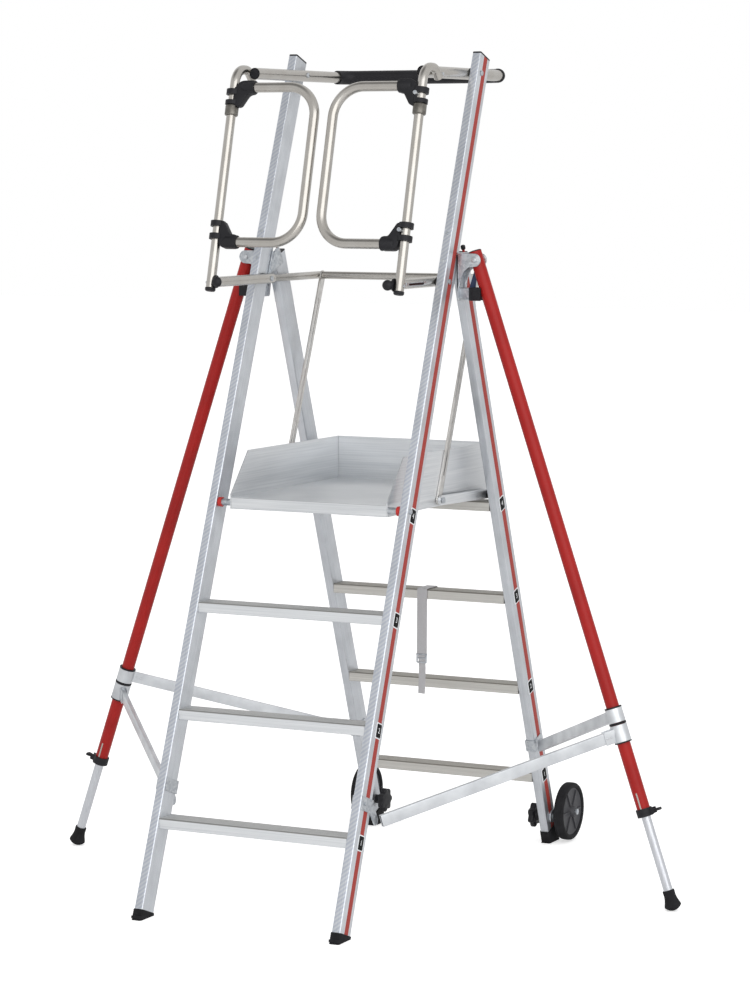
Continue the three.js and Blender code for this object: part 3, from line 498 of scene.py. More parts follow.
def rung(name, top, high, front_edge, half, material, body, node):
    def draw(bm):
        y = front_edge + rung_deep / 2
        sweep(bm, [(-half, y, top), (half, y, top)], rung_section(rung_deep, high))

    piece(name, draw, material, body, [node], edge=0.3)


for i in range(3):
    top = 243 + 261.5 * i
    half = front_middle(top / cos(front_lean)) - stile_wide / 2 - 0.3
    rung(f"front_rung_tread_{i + 1}", top, 27, top * tan(front_lean), half, front_rung_aluminium,
         "front_ladder", f"front_rung_{i + 1}")

# Number plates: small black plates with a silver rim and a plain number, pressed on the outer
# face of the right stiles beside each rung.
plate_black = finish("printed_black_plate", None, (300, 2, 0.5, 0.7),
                     Base_Color=linear("121213"), Specular_IOR_Level=0.1)
plate_silver = finish("plate_silver_print", None, (300, 2, 0.3, 0.45), Base_Color=linear("e6e8eb"))


def number_plate(name, text, at, lean, body):
    """A plate in the plane of the stile's outer face, at a point on it."""
    tilt = Matrix.Translation(at) @ Matrix.Rotation(lean, 4, "X") @ side_plane(0)
    outline = rounded(25, 34, 3)

    def draw_rim(bm):
        cut_plate(bm, [rounded(32, 40, 5)], tilt, 0.8, 0.2)

    def draw_plate(bm):
        cut_plate(bm, [outline], tilt @ Matrix.Translation((0, 0, 0.4)), 0.8, 0.2)

    piece(f"{name}_rim", draw_rim, plate_silver, body)
    piece(f"{name}_face", draw_plate, plate_black, body)
    font = bpy.data.curves.new(f"{name}_number", "FONT")
    font.body = text
    font.size = 0.019
    font.extrude = 0.0001
    font.align_x = "CENTER"
    font.align_y = "CENTER"
    number = bpy.data.objects.new(f"{name}_number", font)
    bpy.context.scene.collection.objects.link(number)
    spot = tilt.copy()
    spot.translation = (Vector(at) + Vector((1.4, -middle_y, 0))) / 1000
    number.matrix_world = spot
    font.materials.append(plate_silver)
    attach(number, body)


for i, s in enumerate([(238 + 261.5 * k) / cos(front_lean) for k in range(3)] + [1083]):
    at = (289.2 - 0.004 * s, *on_front(s, 33, 0).yz)
    number_plate(f"front_plate_{i + 1}", str(i + 1), at, -front_lean, "front_ladder")

# The hinge brackets are folded zinc plated steel: a web on the stile, two ears with the
# outrigger's pin between them, the hinge bolt through both stiles and a plate on the inside.
outrigger_at = Vector((332, 696, 1631))
hinge_at = (720.5, 1630)


def draw_hinge_bracket(bm):
    web = [(674.7, 1527), (722, 1527), (741, 1612), (741, 1650), (674.7, 1650)]
    cut_plate(bm, [round_outline(web, 6)], side_plane(283.7), 3.5)
    bend = [(283.7, 1552), (290, 1560), (296, 1585), (304, 1603), (316, 1613)]
    ear = bend + arc((332, 1631), 17, -90, 90, 16) + [(283.7, 1648)]
    for y in (678.7, 717.3):
        cut_plate(bm, [ear], front_plane(y), 4)
    bolt(bm, (332, 674.5, 1631), (332, 672.9, 1631), 8, 24, 1.6)
    bolt(bm, (332, 717.4, 1631), (332, 719.5, 1631), 7, 6)
    bolt(bm, (332, 672, 1631), (332, 720, 1631), 4.9, 20)
    cross_bolt(bm, 287.1, 292, hinge_at, 10, 6)
    inner = [(664, 1588), (678, 1588), (742, 1616), (716, 1658), (696, 1652)]
    cut_plate(bm, [round_outline(inner, 6)], side_plane(251.8), 2)
    pad = [(664, 1588), (673, 1588), (695, 1646), (685, 1646)]
    cut_plate(bm, [pad], side_plane(253.3), 4.3)
    cross_bolt(bm, 252, 290, hinge_at, 4.9, 20)
    sweep(bm, [(286.2, 696, 1545.5), (312.5, 696, 1545.5)], rounded(18, 30, 3))


# The clip hanger is zinc plated steel in the outrigger tube's shadow: its dark blue is painted shade.
painted_shade_zinc = finish("zinc_steel_painted_shade", None, (120, 2, 0.3, 0.5),
                      Base_Color=linear("3f4d6c"), Specular_IOR_Level=0.3)


def draw_hanger(bm):
    hanger = [(318, 1611), (325, 1611), (318, 1556), (300, 1556)]
    cut_plate(bm, [hanger], front_plane(716), 3)


pair("clip_hanger", draw_hanger, painted_shade_zinc, "front_ladder")
pair("hinge_bracket_plates", draw_hinge_bracket, zinc_steel, "front_ladder",
     ["hinge_bracket_@"], edge=0.4)


def draw_clip(bm):
    around = arc((332, 696), 22, 90, 270, 20)
    within = arc((332, 696), 17.8, 270, 90, 20)
    outline = [(350, 718)] + around + [(350, 674), (350, 678.3)] + within + [(350, 713.7)]
    cut_plate(bm, [outline], Matrix.Translation((0, 0, 1528)), 33, 1.2)


pair("outrigger_clip", draw_clip, black_moulding, "front_ladder")

# The rear frame's stiles are the same extrusion, cut shorter and closed at the top by a cap
# that guides the lock knob.
rear_lean = radians(20.17)
rear_foot = 1296
rear_length = 1738


def on_rear(s, d, x):
    b = rear_lean
    return Vector((x, rear_foot - s * sin(b) + d * cos(b), s * cos(b) + d * sin(b)))


def rear_middle(s):
    return 282.65 - 0.0025 * s - stile_wide / 2


def rear_run(low, high):
    """The middle of a rear stile, from one distance up the slope to another."""
    return [on_rear(s, stile_deep / 2, rear_middle(s)) for s in (low, high)]


rear_deep = (0, cos(rear_lean), sin(rear_lean))
rear_tones = ("bdc1c7", "dcdfe3")
satin_aluminium_rear = stile_material("extruded_aluminium_rear", -rear_lean, rear_foot, rear_tones)


def draw_rear_stile(bm):
    run = rear_run(20, rear_length - 3)
    sweep(bm, run, stile_section(0, 3.5), stile_section(-4, 1.5), rear_deep, foot=7)


pair("rear_stile_extrusion", draw_rear_stile, satin_aluminium_rear, "rear_frame",
     ["rear_stile_@"], edge=0.4)


def draw_rear_cap(bm):
    for low, high, more in ((18, 3.2, -5), (3.2, 0, 0)):
        run = rear_run(rear_length - low, rear_length - high)
        sweep(bm, run, stile_section(more, 3), None, rear_deep)


pair("rear_stile_cap", draw_rear_cap, black_moulding, "rear_frame", edge=0.6)


def draw_rear_bracket(bm):
    sweep(bm, rear_run(292, 326), u_section(14.5, -33, 15, 2.3, "high"), None, rear_deep)
    middle = on_rear(309, 33, rear_middle(309) + 14.5)
    bolt(bm, middle, middle + Vector((3.5, 0, 0)), 6, 6)


pair("rear_strut_bracket", draw_rear_bracket, zinc_steel, "rear_frame", edge=0.5)


def draw_rear_shoe(bm):
    draw_shoe(bm, rear_run(0, 36), rear_deep, rear_lean, on_rear(0, 30, 0).y, -1)


pair("rear_shoe_moulding", draw_rear_shoe, dull_rubber, "rear_frame",
     ["rear_shoe_@"], edge=0.8)

# The rear rungs are the same ribbed extrusion in darker tones of painted shade, with their number
# plates.
# The darker tones of this copy are painted shade, not a different aluminium.
rear_rung_aluminium_painted_shade = rung_material("extruded_aluminium_rear_rung_painted_shade", "b9b7b2", "d3d1cc")
for i in range(4):
    top = 208 + 259 * i
    half = rear_middle(top / cos(rear_lean)) - stile_wide / 2 - 0.3
    edge_y = rear_foot - top * tan(rear_lean) + 5
    rung(f"rear_rung_tread_{i + 1}", top, 26, edge_y, half, rear_rung_aluminium_painted_shade, "rear_frame",
         f"rear_rung_{i + 1}")
    s = (top - 16) / cos(rear_lean)
    at = (282.65 - 0.0025 * s, *on_rear(s, 30, 0).yz)
    number_plate(f"rear_plate_{i + 1}", str(i + 1), at, rear_lean, "rear_frame")

# The wheel brackets are 5 mm steel plates outside the rear stiles, clamped by a bolt that the
# star knob tightens from the inside. The axle is pressed into the plate and ends in a nut.
axle_at = (1353, 84)
knob_at = (1303, 76)


def turned(bm, profile, centre, count=48):
    """A profile of radius and height turned round an axis along X."""
    x, y, z = centre
    rings = [[bm.verts.new((x + h, y + b, z + c)) for b, c in circle(r, count)] for r, h in profile]
    skin(bm, rings + rings[:1])


def draw_wheel_bracket(bm):
    outline = [(1287, 62), (1308, 58), (1358, 66), (1370, 78), (1368, 94), (1352, 102), (1300, 94),
               (1287, 86)]
    cut_plate(bm, [round_outline(outline, 9)], side_plane(283.1), 5, 0.7)
    cross_bolt(bm, 233, 284, knob_at, 4.9, 20)
    cross_bolt(bm, 288, 290.5, knob_at, 8, 24, 2)
    cross_bolt(bm, 288, 291, axle_at, 13, 28)
    cross_bolt(bm, 287, 338, axle_at, 5.9, 20)
    cross_bolt(bm, 335.6, 341, axle_at, 9, 6)


pair("wheel_bracket_plate", draw_wheel_bracket, zinc_steel, "rear_frame",
     ["wheel_bracket_@"], edge=0.3)

# The wheels are moulded: a crowned rubber tread round a dished disc with a long hub.
wheel_disc = finish("moulded_dark_grey_disc", (90, 3, "343438", "47474b"), Roughness=0.55)


def draw_tread(bm):
    profile = [(66, 1.5), (69, 0.5), (74, 0), (77.5, 1.2), (79.4, 4), (80, 9), (80, 19), (79.4, 24)]
    profile += [(77.5, 26.8), (74, 28), (69, 27.5), (66, 26.5), (64, 22), (64, 6)]
    turned(bm, profile, (300.3, *axle_at), 72)


def draw_disc(bm):
    profile = [(6.5, -8), (14, -8), (15, -7), (16.5, 5), (20, 7.5), (60, 7.5), (65.5, 4)]
    profile += [(65.5, 24), (60, 20.5), (20, 20.5), (16.5, 23), (14.5, 34), (13.5, 35), (6.5, 35)]
    turned(bm, profile, (300.3, *axle_at), 64)
    for near, far in zip(circle(16, 6), circle(62, 6)):
        for x in (305.5, 322.5):
            ends = [(x, axle_at[0] + y, axle_at[1] + z) for y, z in (near, far)]
            sweep(bm, ends, rounded(4, 5, 1), None, (1, 0, 0))


pair("wheel_tread", draw_tread, dull_rubber, "wheel_@", ["wheel_@"], smooth=50)
pair("wheel_disc", draw_disc, wheel_disc, "wheel_@", smooth=40)

# The star knobs are moulded black plastic, with seven lobes and a stepped neck.
def draw_star_knob(bm):
    outer = 282.65 - 0.0025 * 80 - stile_wide - 0.3
    rings = []
    for x, grow in ((34, 0.86), (33, 0.95), (31, 1), (21, 1), (19, 0.95), (18, 0.86)):
        ring = []
        for i in range(84):
            turn = tau * i / 84
            r = (31 + 3.5 * cos(7 * turn)) * grow
            spot = (outer - x, knob_at[0] + r * cos(turn), knob_at[1] + r * sin(turn))
            ring.append(bm.verts.new(spot))
        rings.append(ring)
    skin(bm, rings, True)
    turned(bm, [(5.5, 0), (12.5, 0), (12.5, -12), (16, -18.5), (5.5, -18.5)], (outer, *knob_at), 32)
    turned(bm, [(0.1, 0), (15, 0), (16, -1.5), (0.1, -1.5)], (outer - 33, *knob_at), 32)


pair("star_knob_moulding", draw_star_knob, black_moulding, "star_knob_@",
     ["star_knob_@"], smooth=40)

# The lock knobs are spring plungers: a mushroom of black plastic on a red stem.
red_moulding = finish("moulded_red_plastic", None, None, (700, 2, 0.15, 0.0002),
                      Base_Color=linear("b8302b"), Roughness=0.4, Specular_IOR_Level=0.3)


def lathe(bm, profile, start, along, count=28):
    """A profile of radius and distance turned round any axis."""
    start, along = Vector(start), Vector(along).normalized()
    across = Vector((0, 1, 0)).cross(along).normalized() if abs(along.y) < 0.9 else Vector((1, 0, 0))
    side = along.cross(across)
    rings = []
    for r, h in profile:
        centre = start + along * h
        rings.append([bm.verts.new(centre + across * x + side * y) for x, y in circle(r, count)])
    skin(bm, rings, True)


rear_along = (0, -sin(rear_lean), cos(rear_lean))
plunger = on_rear(rear_length, 50, rear_middle(rear_length) + 5)


def draw_lock_stem(bm):
    lathe(bm, [(3.4, -30), (3.4, 10)], plunger, rear_along)


def draw_lock_knob(bm):
    lathe(bm, [(3.6, 8.2), (5, 8.5), (6.2, 10), (6.2, 16.5), (5.2, 19), (3, 20)], plunger, rear_along)


pair("lock_stem", draw_lock_stem, red_moulding, "lock_knob_@", ["lock_knob_@"])
pair("lock_mushroom", draw_lock_knob, black_moulding, "lock_knob_@")

# The platform is a pan of sheet aluminium on a hollow front beam, pinned to the front stiles.
# Fine ribs run across its top.
deck_half = 221.7
deck_front = 396
deck_rear = 998
deck_top = 1025.5
beam_pin = (403, 1012)
link_foot = (688, 1012)
link_top = (917, 1577)
sheet_aluminium, tree, shader = start_material("rolled_aluminium_sheet", Metallic=0.8)
roll = noise(tree, (4, 4, 250), 4)
tones = two_tones(tree, roll, "cdd0d3", "e0e2e4", 0.3, 0.7)
tree.links.new(mix(tree, tones, noise(tree, 7), 0.15, "SOFT_LIGHT"), shader.inputs["Base Color"])
tree.links.new(spread(tree, roll, 0.28, 0.5), shader.inputs["Roughness"])


def draw_beam(bm):
    y = deck_front + 14
    z = deck_top - 14.75
    outer = rounded(28, 29.5, 2.5)
    inner = rounded(22.5, 24, 1)
    sweep(bm, [(-deck_half, y, z), (deck_half, y, z)], outer, inner)


def draw_deck(bm):
    top = deck_top
    outline = [(deck_front + 28.3, top - 1.2)]
    count = 44
    pitch = (deck_rear - deck_front - 30) / count
    for i in range(count):
        y = deck_front + 29 + i * pitch
        outline += [(y, top - 1.2), (y + pitch * 0.2, top)]
        outline += [(y + pitch * 0.6, top), (y + pitch * 0.8, top - 1.2)]
    outline += [(deck_rear, top - 1), (deck_rear, top - 29.5), (deck_rear - 3, top - 29.5)]
    outline += [(deck_rear - 3, top - 4), (deck_front + 28.3, top - 4)]
    sweep(bm, [(-deck_half, 0, 0), (deck_half, 0, 0)], outline)
    for side in (-1, 1):
        edge = side * (deck_half - 1.5)
        ends = [(edge, deck_front + 28.5, top - 16), (edge, deck_rear, top - 16)]
        sweep(bm, ends, rounded(3, 26, 0.5))


piece("platform_beam", draw_beam, sheet_aluminium, "platform", ["platform_deck"], edge=0.5)
piece("platform_pan", draw_deck, sheet_aluminium, "platform", edge=0.2)


def draw_platform_pins(bm):
    cross_bolt(bm, 206, 286, beam_pin, 3.9, 20)
    cross_bolt(bm, 284.7, 288.6, beam_pin, 7, 6)
    cross_bolt(bm, 219, 242, link_foot, 4.9, 20)
    cross_bolt(bm, 239.8, 244, link_foot, 9, 6)
    cross_bolt(bm, 221, 217.5, link_foot, 9, 24, 2)


pair("platform_bolts", draw_platform_pins, zinc_steel, "platform", edge=0.3)


def draw_platform_bush(bm):
    lathe(bm, [(6, 25), (12.5, 25), (12.5, 33.6), (11.5, 34.4)], (225.6, *beam_pin), (1, 0, 0))


def draw_bush_tube(bm):
    lathe(bm, [(6, -1), (9, -1), (9, 24.8)], (225.6, *beam_pin), (1, 0, 0))


pair("platform_bush_tube", draw_bush_tube, zinc_steel, "platform")
pair("platform_bush", draw_platform_bush, red_moulding, "platform")

# The toe boards are 3 mm aluminium plates with folded, slightly dull edges, riveted to the pan.
def draw_side_board(bm):
    outline = [(deck_front, 996), (996, 996), (996, 1138), (490, 1140), (deck_front, 1032.5)]
    holes = [arc(beam_pin, 6.3, 0, 342, 19), arc(link_foot, 5.3, 0, 342, 19)]
    cut_plate(bm, [outline] + holes, side_plane(222), 3, 0.5)
    for y in (470, 600, 770, 930):
        bolt(bm, (222.3, y, 1012), (220.6, y, 1012), 3.5, 16, 1)
        bolt(bm, (224.8, y, 1012), (225.4, y, 1012), 4, 16)


pair("side_board_plate", draw_side_board, sheet_aluminium, "platform", ["side_toe_board_@"])


def draw_rear_board(bm):
    sweep(bm, [(-224.8, 999.8, 1067), (224.8, 999.8, 1067)], rounded(3, 142, 0.8))
    for x in (-190, -70, 70, 190):
        bolt(bm, (x, 998.5, 1012), (x, 997.4, 1012), 3.5, 16, 1)


piece("rear_board_plate", draw_rear_board, sheet_aluminium, "platform", ["rear_toe_board"])

# The links are flat stainless bars with a long slot, from the platform up to the knee rail.
# Satin stainless tube and bar: a warm grey with an even, soft shine and faint clouding.
def satin_steel(name, scale, low, high, shine=(0.2, 0.3)):
    return finish(name, (scale, 3, low, high, 0.3, 0.7), (scale, 3, *shine), Metallic=1.0)


steel_round = satin_steel("satin_stainless_tube", (18, 18, 18), "b2aea8", "bbb8b3")
steel_bar = satin_steel("satin_stainless_bar", (400, 60, 60), "bfbdba", "d8d6d3", (0.25, 0.35))


def stadium(near, far, radius, steps):
    """A round-ended outline from one centre to another, level with it."""
    return arc(near, radius, 90, 270, steps) + arc(far, radius, 270, 450, steps)


def flat_bar(bm, start, end, wide, x0, x1, slot_margin, hole):
    """A round-ended bar beside the platform, with a hole at each end and a slot between them."""
    (y0, z0), (y1, z1) = start, end
    length = hypot(y1 - y0, z1 - z0)
    along = Vector((0, y1 - y0, z1 - z0)) / length
    across = Vector((1, 0, 0)).cross(along)
    rows = ((0, 0, 1, x0), (along.y, across.y, 0, y0), (along.z, across.z, 0, z0), (0, 0, 0, 1))
    loops = [stadium((0, 0), (length, 0), wide / 2, 12)]
    loops += [arc((x, 0), hole, 0, -337.5, 15) for x in (0, length)]
    if slot_margin:
        loops.append(stadium((slot_margin, 0), (length - slot_margin, 0), 4, 12))
    cut_plate(bm, loops, Matrix(rows), x1 - x0)


def draw_link(bm):
    flat_bar(bm, link_foot, link_top, 25, 225.6, 230.1, 70, 5.5)


pair("link_flat", draw_link, steel_bar, "link_@", ["link_bar_@"])

# The side arms are flat aluminium bars that end in a black block against the rear stile.
arm_end = (973, 1003)


def draw_arm(bm):
    flat_bar(bm, link_foot, arm_end, 25, 230.6, 238.6, 0, 5.5)


def draw_arm_block(bm):
    sweep(bm, [(238.2, *arm_end), (255, *arm_end)], rounded(26, 21, 4))
    cross_bolt(bm, 230.8, 229.2, arm_end, 7, 20, 1.2)


pair("arm_bar", draw_arm, sheet_aluminium, "arm_@", ["side_arm_@"])
pair("arm_block", draw_arm_block, black_moulding, "arm_@", edge=1)

# The knee rail is stainless tube in two sizes, closed by a rear bar, with black spacers and a
# bolt through each stile.
guard_x = 239.5
knee_x = 241.5
knee_pivot = (632, 1577)


def draw_knee_rail(bm):
    for side in (-1, 1):
        x = side * knee_x
        sweep(bm, [(x, 364, 1577), (x, 652, 1577), (x, 656, 1577)], circle(13), circle(11))
        lathe(bm, [(13, 0), (13, 1), (10, 5), (10, 275), (9, 276)], (x, 655, 1577), (0, 1, 0))
    lathe(bm, [(10, 0), (10, 449)], (-224.5, *link_top), (1, 0, 0))


def draw_knee_fittings(bm):
    cross_bolt(bm, 224, 236, link_top, 4.9, 20)
    cross_bolt(bm, 252, 284, knee_pivot, 3.9, 20)
    cross_bolt(bm, 283.2, 285.9, knee_pivot, 7.5, 6)
    cross_bolt(bm, 229, 226.5, knee_pivot, 7, 24, 1.6)


def draw_knee_spacer(bm):
    lathe(bm, [(12.5, -5), (14, -4), (14, 2.4), (12, 3.4)], (254.6, *knee_pivot), (1, 0, 0))
    lathe(bm, [(15, -5), (16.5, -4), (16.5, -0.6), (14, 0.4)], (254.6, 378, 1577), (1, 0, 0))


def draw_knee_plug(bm):
    profile = [(10.8, -14), (10.8, 0), (13.4, 0.1), (13.4, 3), (12, 7), (8, 10.5), (3, 12)]
    lathe(bm, profile, (knee_x, 364, 1577), (0, -1, 0))


def draw_rail_slot(bm):
    outline = stadium((459.25, 1575.5), (539.75, 1575.5), 2.75, 8)
    cut_plate(bm, [outline], side_plane(knee_x + 12.2), 1.1, 0.2)


def draw_slot_rim(bm):
    outline = stadium((459, 1575.5), (540, 1575.5), 4.5, 8)
    cut_plate(bm, [outline], side_plane(knee_x + 12), 1, 0.2)
    bolt(bm, (knee_x + 12, 442, 1577), (knee_x + 14, 442, 1577), 3.5, 16, 1)


rail_slot = finish("dark_slot_shadow", None, (150, 2, 0.5, 0.7),
                   Base_Color=linear("2a1716"), Specular_IOR_Level=0.1)
pair("knee_rail_slot", draw_rail_slot, rail_slot, "knee_rail")
pair("knee_rail_slot_rim", draw_slot_rim, zinc_steel, "knee_rail")
piece("knee_rail_tubes", draw_knee_rail, steel_round, "knee_rail", ["knee_rail"],
      smooth=40)
pair("knee_rail_bolts", draw_knee_fittings, zinc_steel, "knee_rail", edge=0.3)
pair("knee_rail_spacer", draw_knee_spacer, black_moulding, "knee_rail")
pair("knee_rail_plug", draw_knee_plug, black_moulding, "knee_rail")

# The guard rail is one stainless tube bent round the platform at waist height. A black grip
# sleeve covers its rear bar, and plugs close its front ends.
def bent(corners, radii, steps=10):
    """Straight runs joined by arcs."""
    corners = [Vector(c) for c in corners]
    line = [corners[0]]
    for i in range(1, len(corners) - 1):
        back = (corners[i - 1] - corners[i]).normalized()
        ahead = (corners[i + 1] - corners[i]).normalized()
        half = back.angle(ahead) / 2
        centre = corners[i] + (back + ahead).normalized() * (radii[i - 1] / sin(half))
        start = corners[i] + back * (radii[i - 1] / tan(half)) - centre
        axis = ahead.cross(back)
        for k in range(steps + 1):
            line.append(centre + Matrix.Rotation((pi - 2 * half) * k / steps, 3, axis) @ start)
    line.append(corners[-1])
    return line


guard_pivot = (828, 2107)
guard_z = 2105.5


def draw_guard_rail(bm):
    z = guard_z
    line = bent([(guard_x, 563, z), (guard_x, 1062, z), (-guard_x, 1062, z), (-guard_x, 563, z)],
                (50, 50))
    sweep(bm, line, circle(15), circle(13))


def draw_guard_fittings(bm):
    cross_bolt(bm, 252, 284, guard_pivot, 3.9, 20)
    cross_bolt(bm, 280.9, 283.6, guard_pivot, 7.5, 6)
    cross_bolt(bm, 225, 222.5, guard_pivot, 7, 24, 1.6)


def draw_guard_spacer(bm):
    lathe(bm, [(12, -6), (13.5, -5), (13.5, 0.8), (12, 1.4)], (254.6, *guard_pivot), (1, 0, 0))


def draw_guard_plug(bm):
    lathe(bm, [(12.9, -14), (12.9, 0), (14.8, 0.1), (14.8, 0.8)], (guard_x, 563.8, guard_z), (0, -1, 0))


def draw_grip(bm):
    z = guard_z
    line = bent([(guard_x, 1004, z), (guard_x, 1062, z), (-guard_x, 1062, z), (-guard_x, 1004, z)],
                (50, 50), 14)[3:-3]
    sweep(bm, line, circle(18.5, 40), circle(15.2, 40))


piece("guard_rail_tube", draw_guard_rail, steel_round, "guard_rail", ["guard_rail"],
      smooth=40)
pair("guard_rail_bolts", draw_guard_fittings, zinc_steel, "guard_rail", edge=0.3)
pair("guard_rail_spacer", draw_guard_spacer, black_moulding, "guard_rail")
pair("guard_rail_plug", draw_guard_plug, black_moulding, "guard_rail")
piece("grip_sleeve_moulding", draw_grip, black_moulding, "guard_rail", ["grip_sleeve"])

# The door posts are stainless tubes, bent over at the top and pinned to the guard rail. A
# sprung collar sits under the upper clamp and a plug closes the foot.
post_lean = radians(14.45)
post_x = 267
post_foot = (378, 1575)
post_pin = (601, 2100)
post_along = Vector((0, sin(post_lean), cos(post_lean)))


def on_post(s, x=post_x):
    return Vector((x, *post_foot)) + post_along * s


def draw_post(bm):
    top = (2115 - 1575) / cos(post_lean)
    line = bent([on_post(-18), on_post(top), (post_x, 578, 2115), (post_x, 600, 2091)], (45, 34), 8)
    sweep(bm, line, circle(12), circle(10), (1, 0, 0))


dull_steel = satin_steel("blackened_spring_steel", (90, 90, 90), "66635e", "827f79", (0.3, 0.42))


def draw_post_collar(bm):
    lathe(bm, [(12.2, 0), (16, 0.2), (17.3, 2), (17.3, 24), (16, 26.6), (12.2, 26.8)], on_post(436),
          post_along, 32)


def draw_post_plug(bm):
    lathe(bm, [(12.2, 4), (13.5, 3.6), (13.5, -2), (11.5, -4.5), (4, -5.5)], on_post(-18), post_along)


def draw_post_pin(bm):
    cross_bolt(bm, 231, 280.5, post_pin, 3.9, 20)
    cross_bolt(bm, 270, 281, post_foot, 3.5, 20, 1)


pair("door_post_tube", draw_post, steel_round, "post_@", ["door_post_@"], smooth=40)
pair("door_post_collar", draw_post_collar, dull_steel, "post_@")
pair("door_post_plug", draw_post_plug, black_moulding, "post_@")
pair("door_post_pin", draw_post_pin, zinc_steel, "post_@")

# The doors are stainless tubes bent to a wide U, with their ends in the clamps on the posts.
def draw_door(bm):
    line = bent([on_post(509.5, 216), on_post(509.5, 26.4), on_post(105.5, 26.4),
                 on_post(105.5, 216)], (78, 78), 14)
    sweep(bm, line, circle(12.75), circle(10.75), (0, 1, 0))


pair("door_tube", draw_door, steel_round, "door_@", ["door_@"], smooth=40)

# The door clamps are moulded black plastic: a saddle behind the post with two eyes round it, and
# a web that widens to a socket for the door's tube. A socket screw pinches each one.
post_front = Vector((0, -cos(post_lean), sin(post_lean)))


def draw_clamp(bm, outline, eyes, socket):
    plane = Matrix.Identity(4)
    for column, axis in enumerate(((1, 0, 0), post_along, post_front)):
        for row in range(3):
            plane[row][column] = axis[row]
    plane.translation = on_post(0, 0) - post_front * 11.5
    cut_plate(bm, [round_outline(outline, 7, 5)], plane, 23, 2.5)
    profile = [(13, 3), (13.4, 0.4), (14.5, 0), (17, 0.6), (17.6, 3), (16.6, 6), (16.2, 30), (13, 37)]
    lathe(bm, profile, on_post(socket, 204), (1, 0, 0), 36)
    section = arc((0, 0), 19, 262, 352, 12) + arc((0, 0), 12.5, 352, 262, 12)
    sweep(bm, [on_post(eyes[0] + 0.5), on_post(eyes[3] - 0.5)], section, None, post_front)
    for s0, s1 in (eyes[:2], eyes[2:]):
        sweep(bm, [on_post(s0), on_post(s1)], circle(19, 36), circle(12.5, 36), (1, 0, 0))


def clamp_screw(bm, x, s, way):
    start = on_post(s, x) + post_front * way * 11
    lathe(bm, [(5.4, 0), (5.4, 7.6), (4.8, 8.4), (2.6, 8.4), (2.6, 6.4), (0.5, 6.2)], start,
          post_front * way, 24)


def draw_upper_clamp(bm):
    outline = [(204, 526), (236, 526), (247, 523), (256, 511), (262, 507), (262, 460)]
    outline += [(246, 458), (240, 461), (222, 490), (206, 493), (204, 500)]
    draw_clamp(bm, outline, (464, 475, 490, 504), 509.5)


def draw_lower_clamp(bm):
    outline = [(204, 121), (212, 124), (224, 124), (246, 158), (256, 158)]
    outline += [(256, 112), (252, 96), (243, 89), (210, 89), (204, 94)]
    draw_clamp(bm, outline, (112, 126, 145, 159), 105.5)


def draw_clamp_screws(way):
    def draw(bm):
        clamp_screw(bm, 257.8, 488.5, way)
        clamp_screw(bm, 256.5, 139, way)

    return draw


pair("upper_clamp_moulding", draw_upper_clamp, black_moulding, "door_@",
     ["upper_door_clamp_@"], smooth=50)
pair("lower_clamp_moulding", draw_lower_clamp, black_moulding, "door_@",
     ["lower_door_clamp_@"], smooth=50)
piece("clamp_screws_right", draw_clamp_screws(1), zinc_steel, "door_right")
piece("clamp_screws_left", draw_clamp_screws(-1), zinc_steel, "door_left", side=-1)

# The outriggers are powder coated steel tubes. The coat is a deep red with a fine orange peel,
# rubbed duller in long patches.
outrigger_angle = radians(18.74)
outrigger_down = Vector((sin(outrigger_angle), 0, -cos(outrigger_angle)))
outrigger_out = Vector((cos(outrigger_angle), 0, sin(outrigger_angle)))
red_coat = finish("powder_coated_red", (9, 4, "981b19", "a8211e", 0.35, 0.7), (9, 4, 0.26, 0.42),
                  (420, 1, 0.12, 0.0003), Specular_IOR_Level=0.22)


def on_outrigger(s):
    return outrigger_at + outrigger_down * s


def sleeve(bm, low, high, outer, inner, count=36):
    """A tube round the outrigger's axis, from one distance below its pivot to another."""
    ends = [on_outrigger(low), on_outrigger(high)]
    sweep(bm, ends, circle(outer, count), circle(inner, count), (0, 1, 0))


def draw_outrigger(bm):
    sleeve(bm, -22, 1466, 17, 15, 40)


def draw_outrigger_cap(bm):
    lathe(bm, [(14.8, 12), (14.8, 3.2), (17, 3.1), (17, 1.5), (15.5, 0)], on_outrigger(-25),
          outrigger_down, 36)


def draw_stop_rings(bm):
    for s, wide in ((1186.2, 3.5), (1227, 5), (1277.3, 3)):
        sleeve(bm, s, s + wide, 22.4, 17)


def draw_slit(bm):
    """The bare inner tube, seen in the slit at the lower end."""
    front = Vector((0, -16.9, 0))
    sweep(bm, [on_outrigger(1411) + front, on_outrigger(1453) + front], rounded(4, 0.9, 0.4), None,
          (0, 1, 0))


pair("outrigger_slit", draw_slit, steel_round, "outrigger_@")
pair("outrigger_red_tube", draw_outrigger, red_coat, "outrigger_@",
     ["outrigger_tube_@"], smooth=40)
pair("outrigger_cap", draw_outrigger_cap, black_moulding, "outrigger_@")
pair("outrigger_rings", draw_stop_rings, black_moulding, "outrigger_@", edge=0.6)

# The leg clamps are black plastic sleeves on the tube ends, squeezed by a lever.
clamp_top = 1453


def beside(distance, s=clamp_top + 10.5):
    return on_outrigger(s) + outrigger_out * distance


def draw_leg_clamp(bm):
    sleeve(bm, clamp_top, 1466.3, 21, 17.3)
    sleeve(bm, 1466.2, 1474, 21, 12.3)
    for y in (-7.7, 7.7):
        sweep(bm, [beside(17) + Vector((0, y, 0)), beside(30) + Vector((0, y, 0))],
              rounded(16, 2.6, 1), None, (0, 1, 0))
    bolt(bm, beside(26) + Vector((0, -9.6, 0)), beside(26) + Vector((0, 9.6, 0)), 1.8, 16)


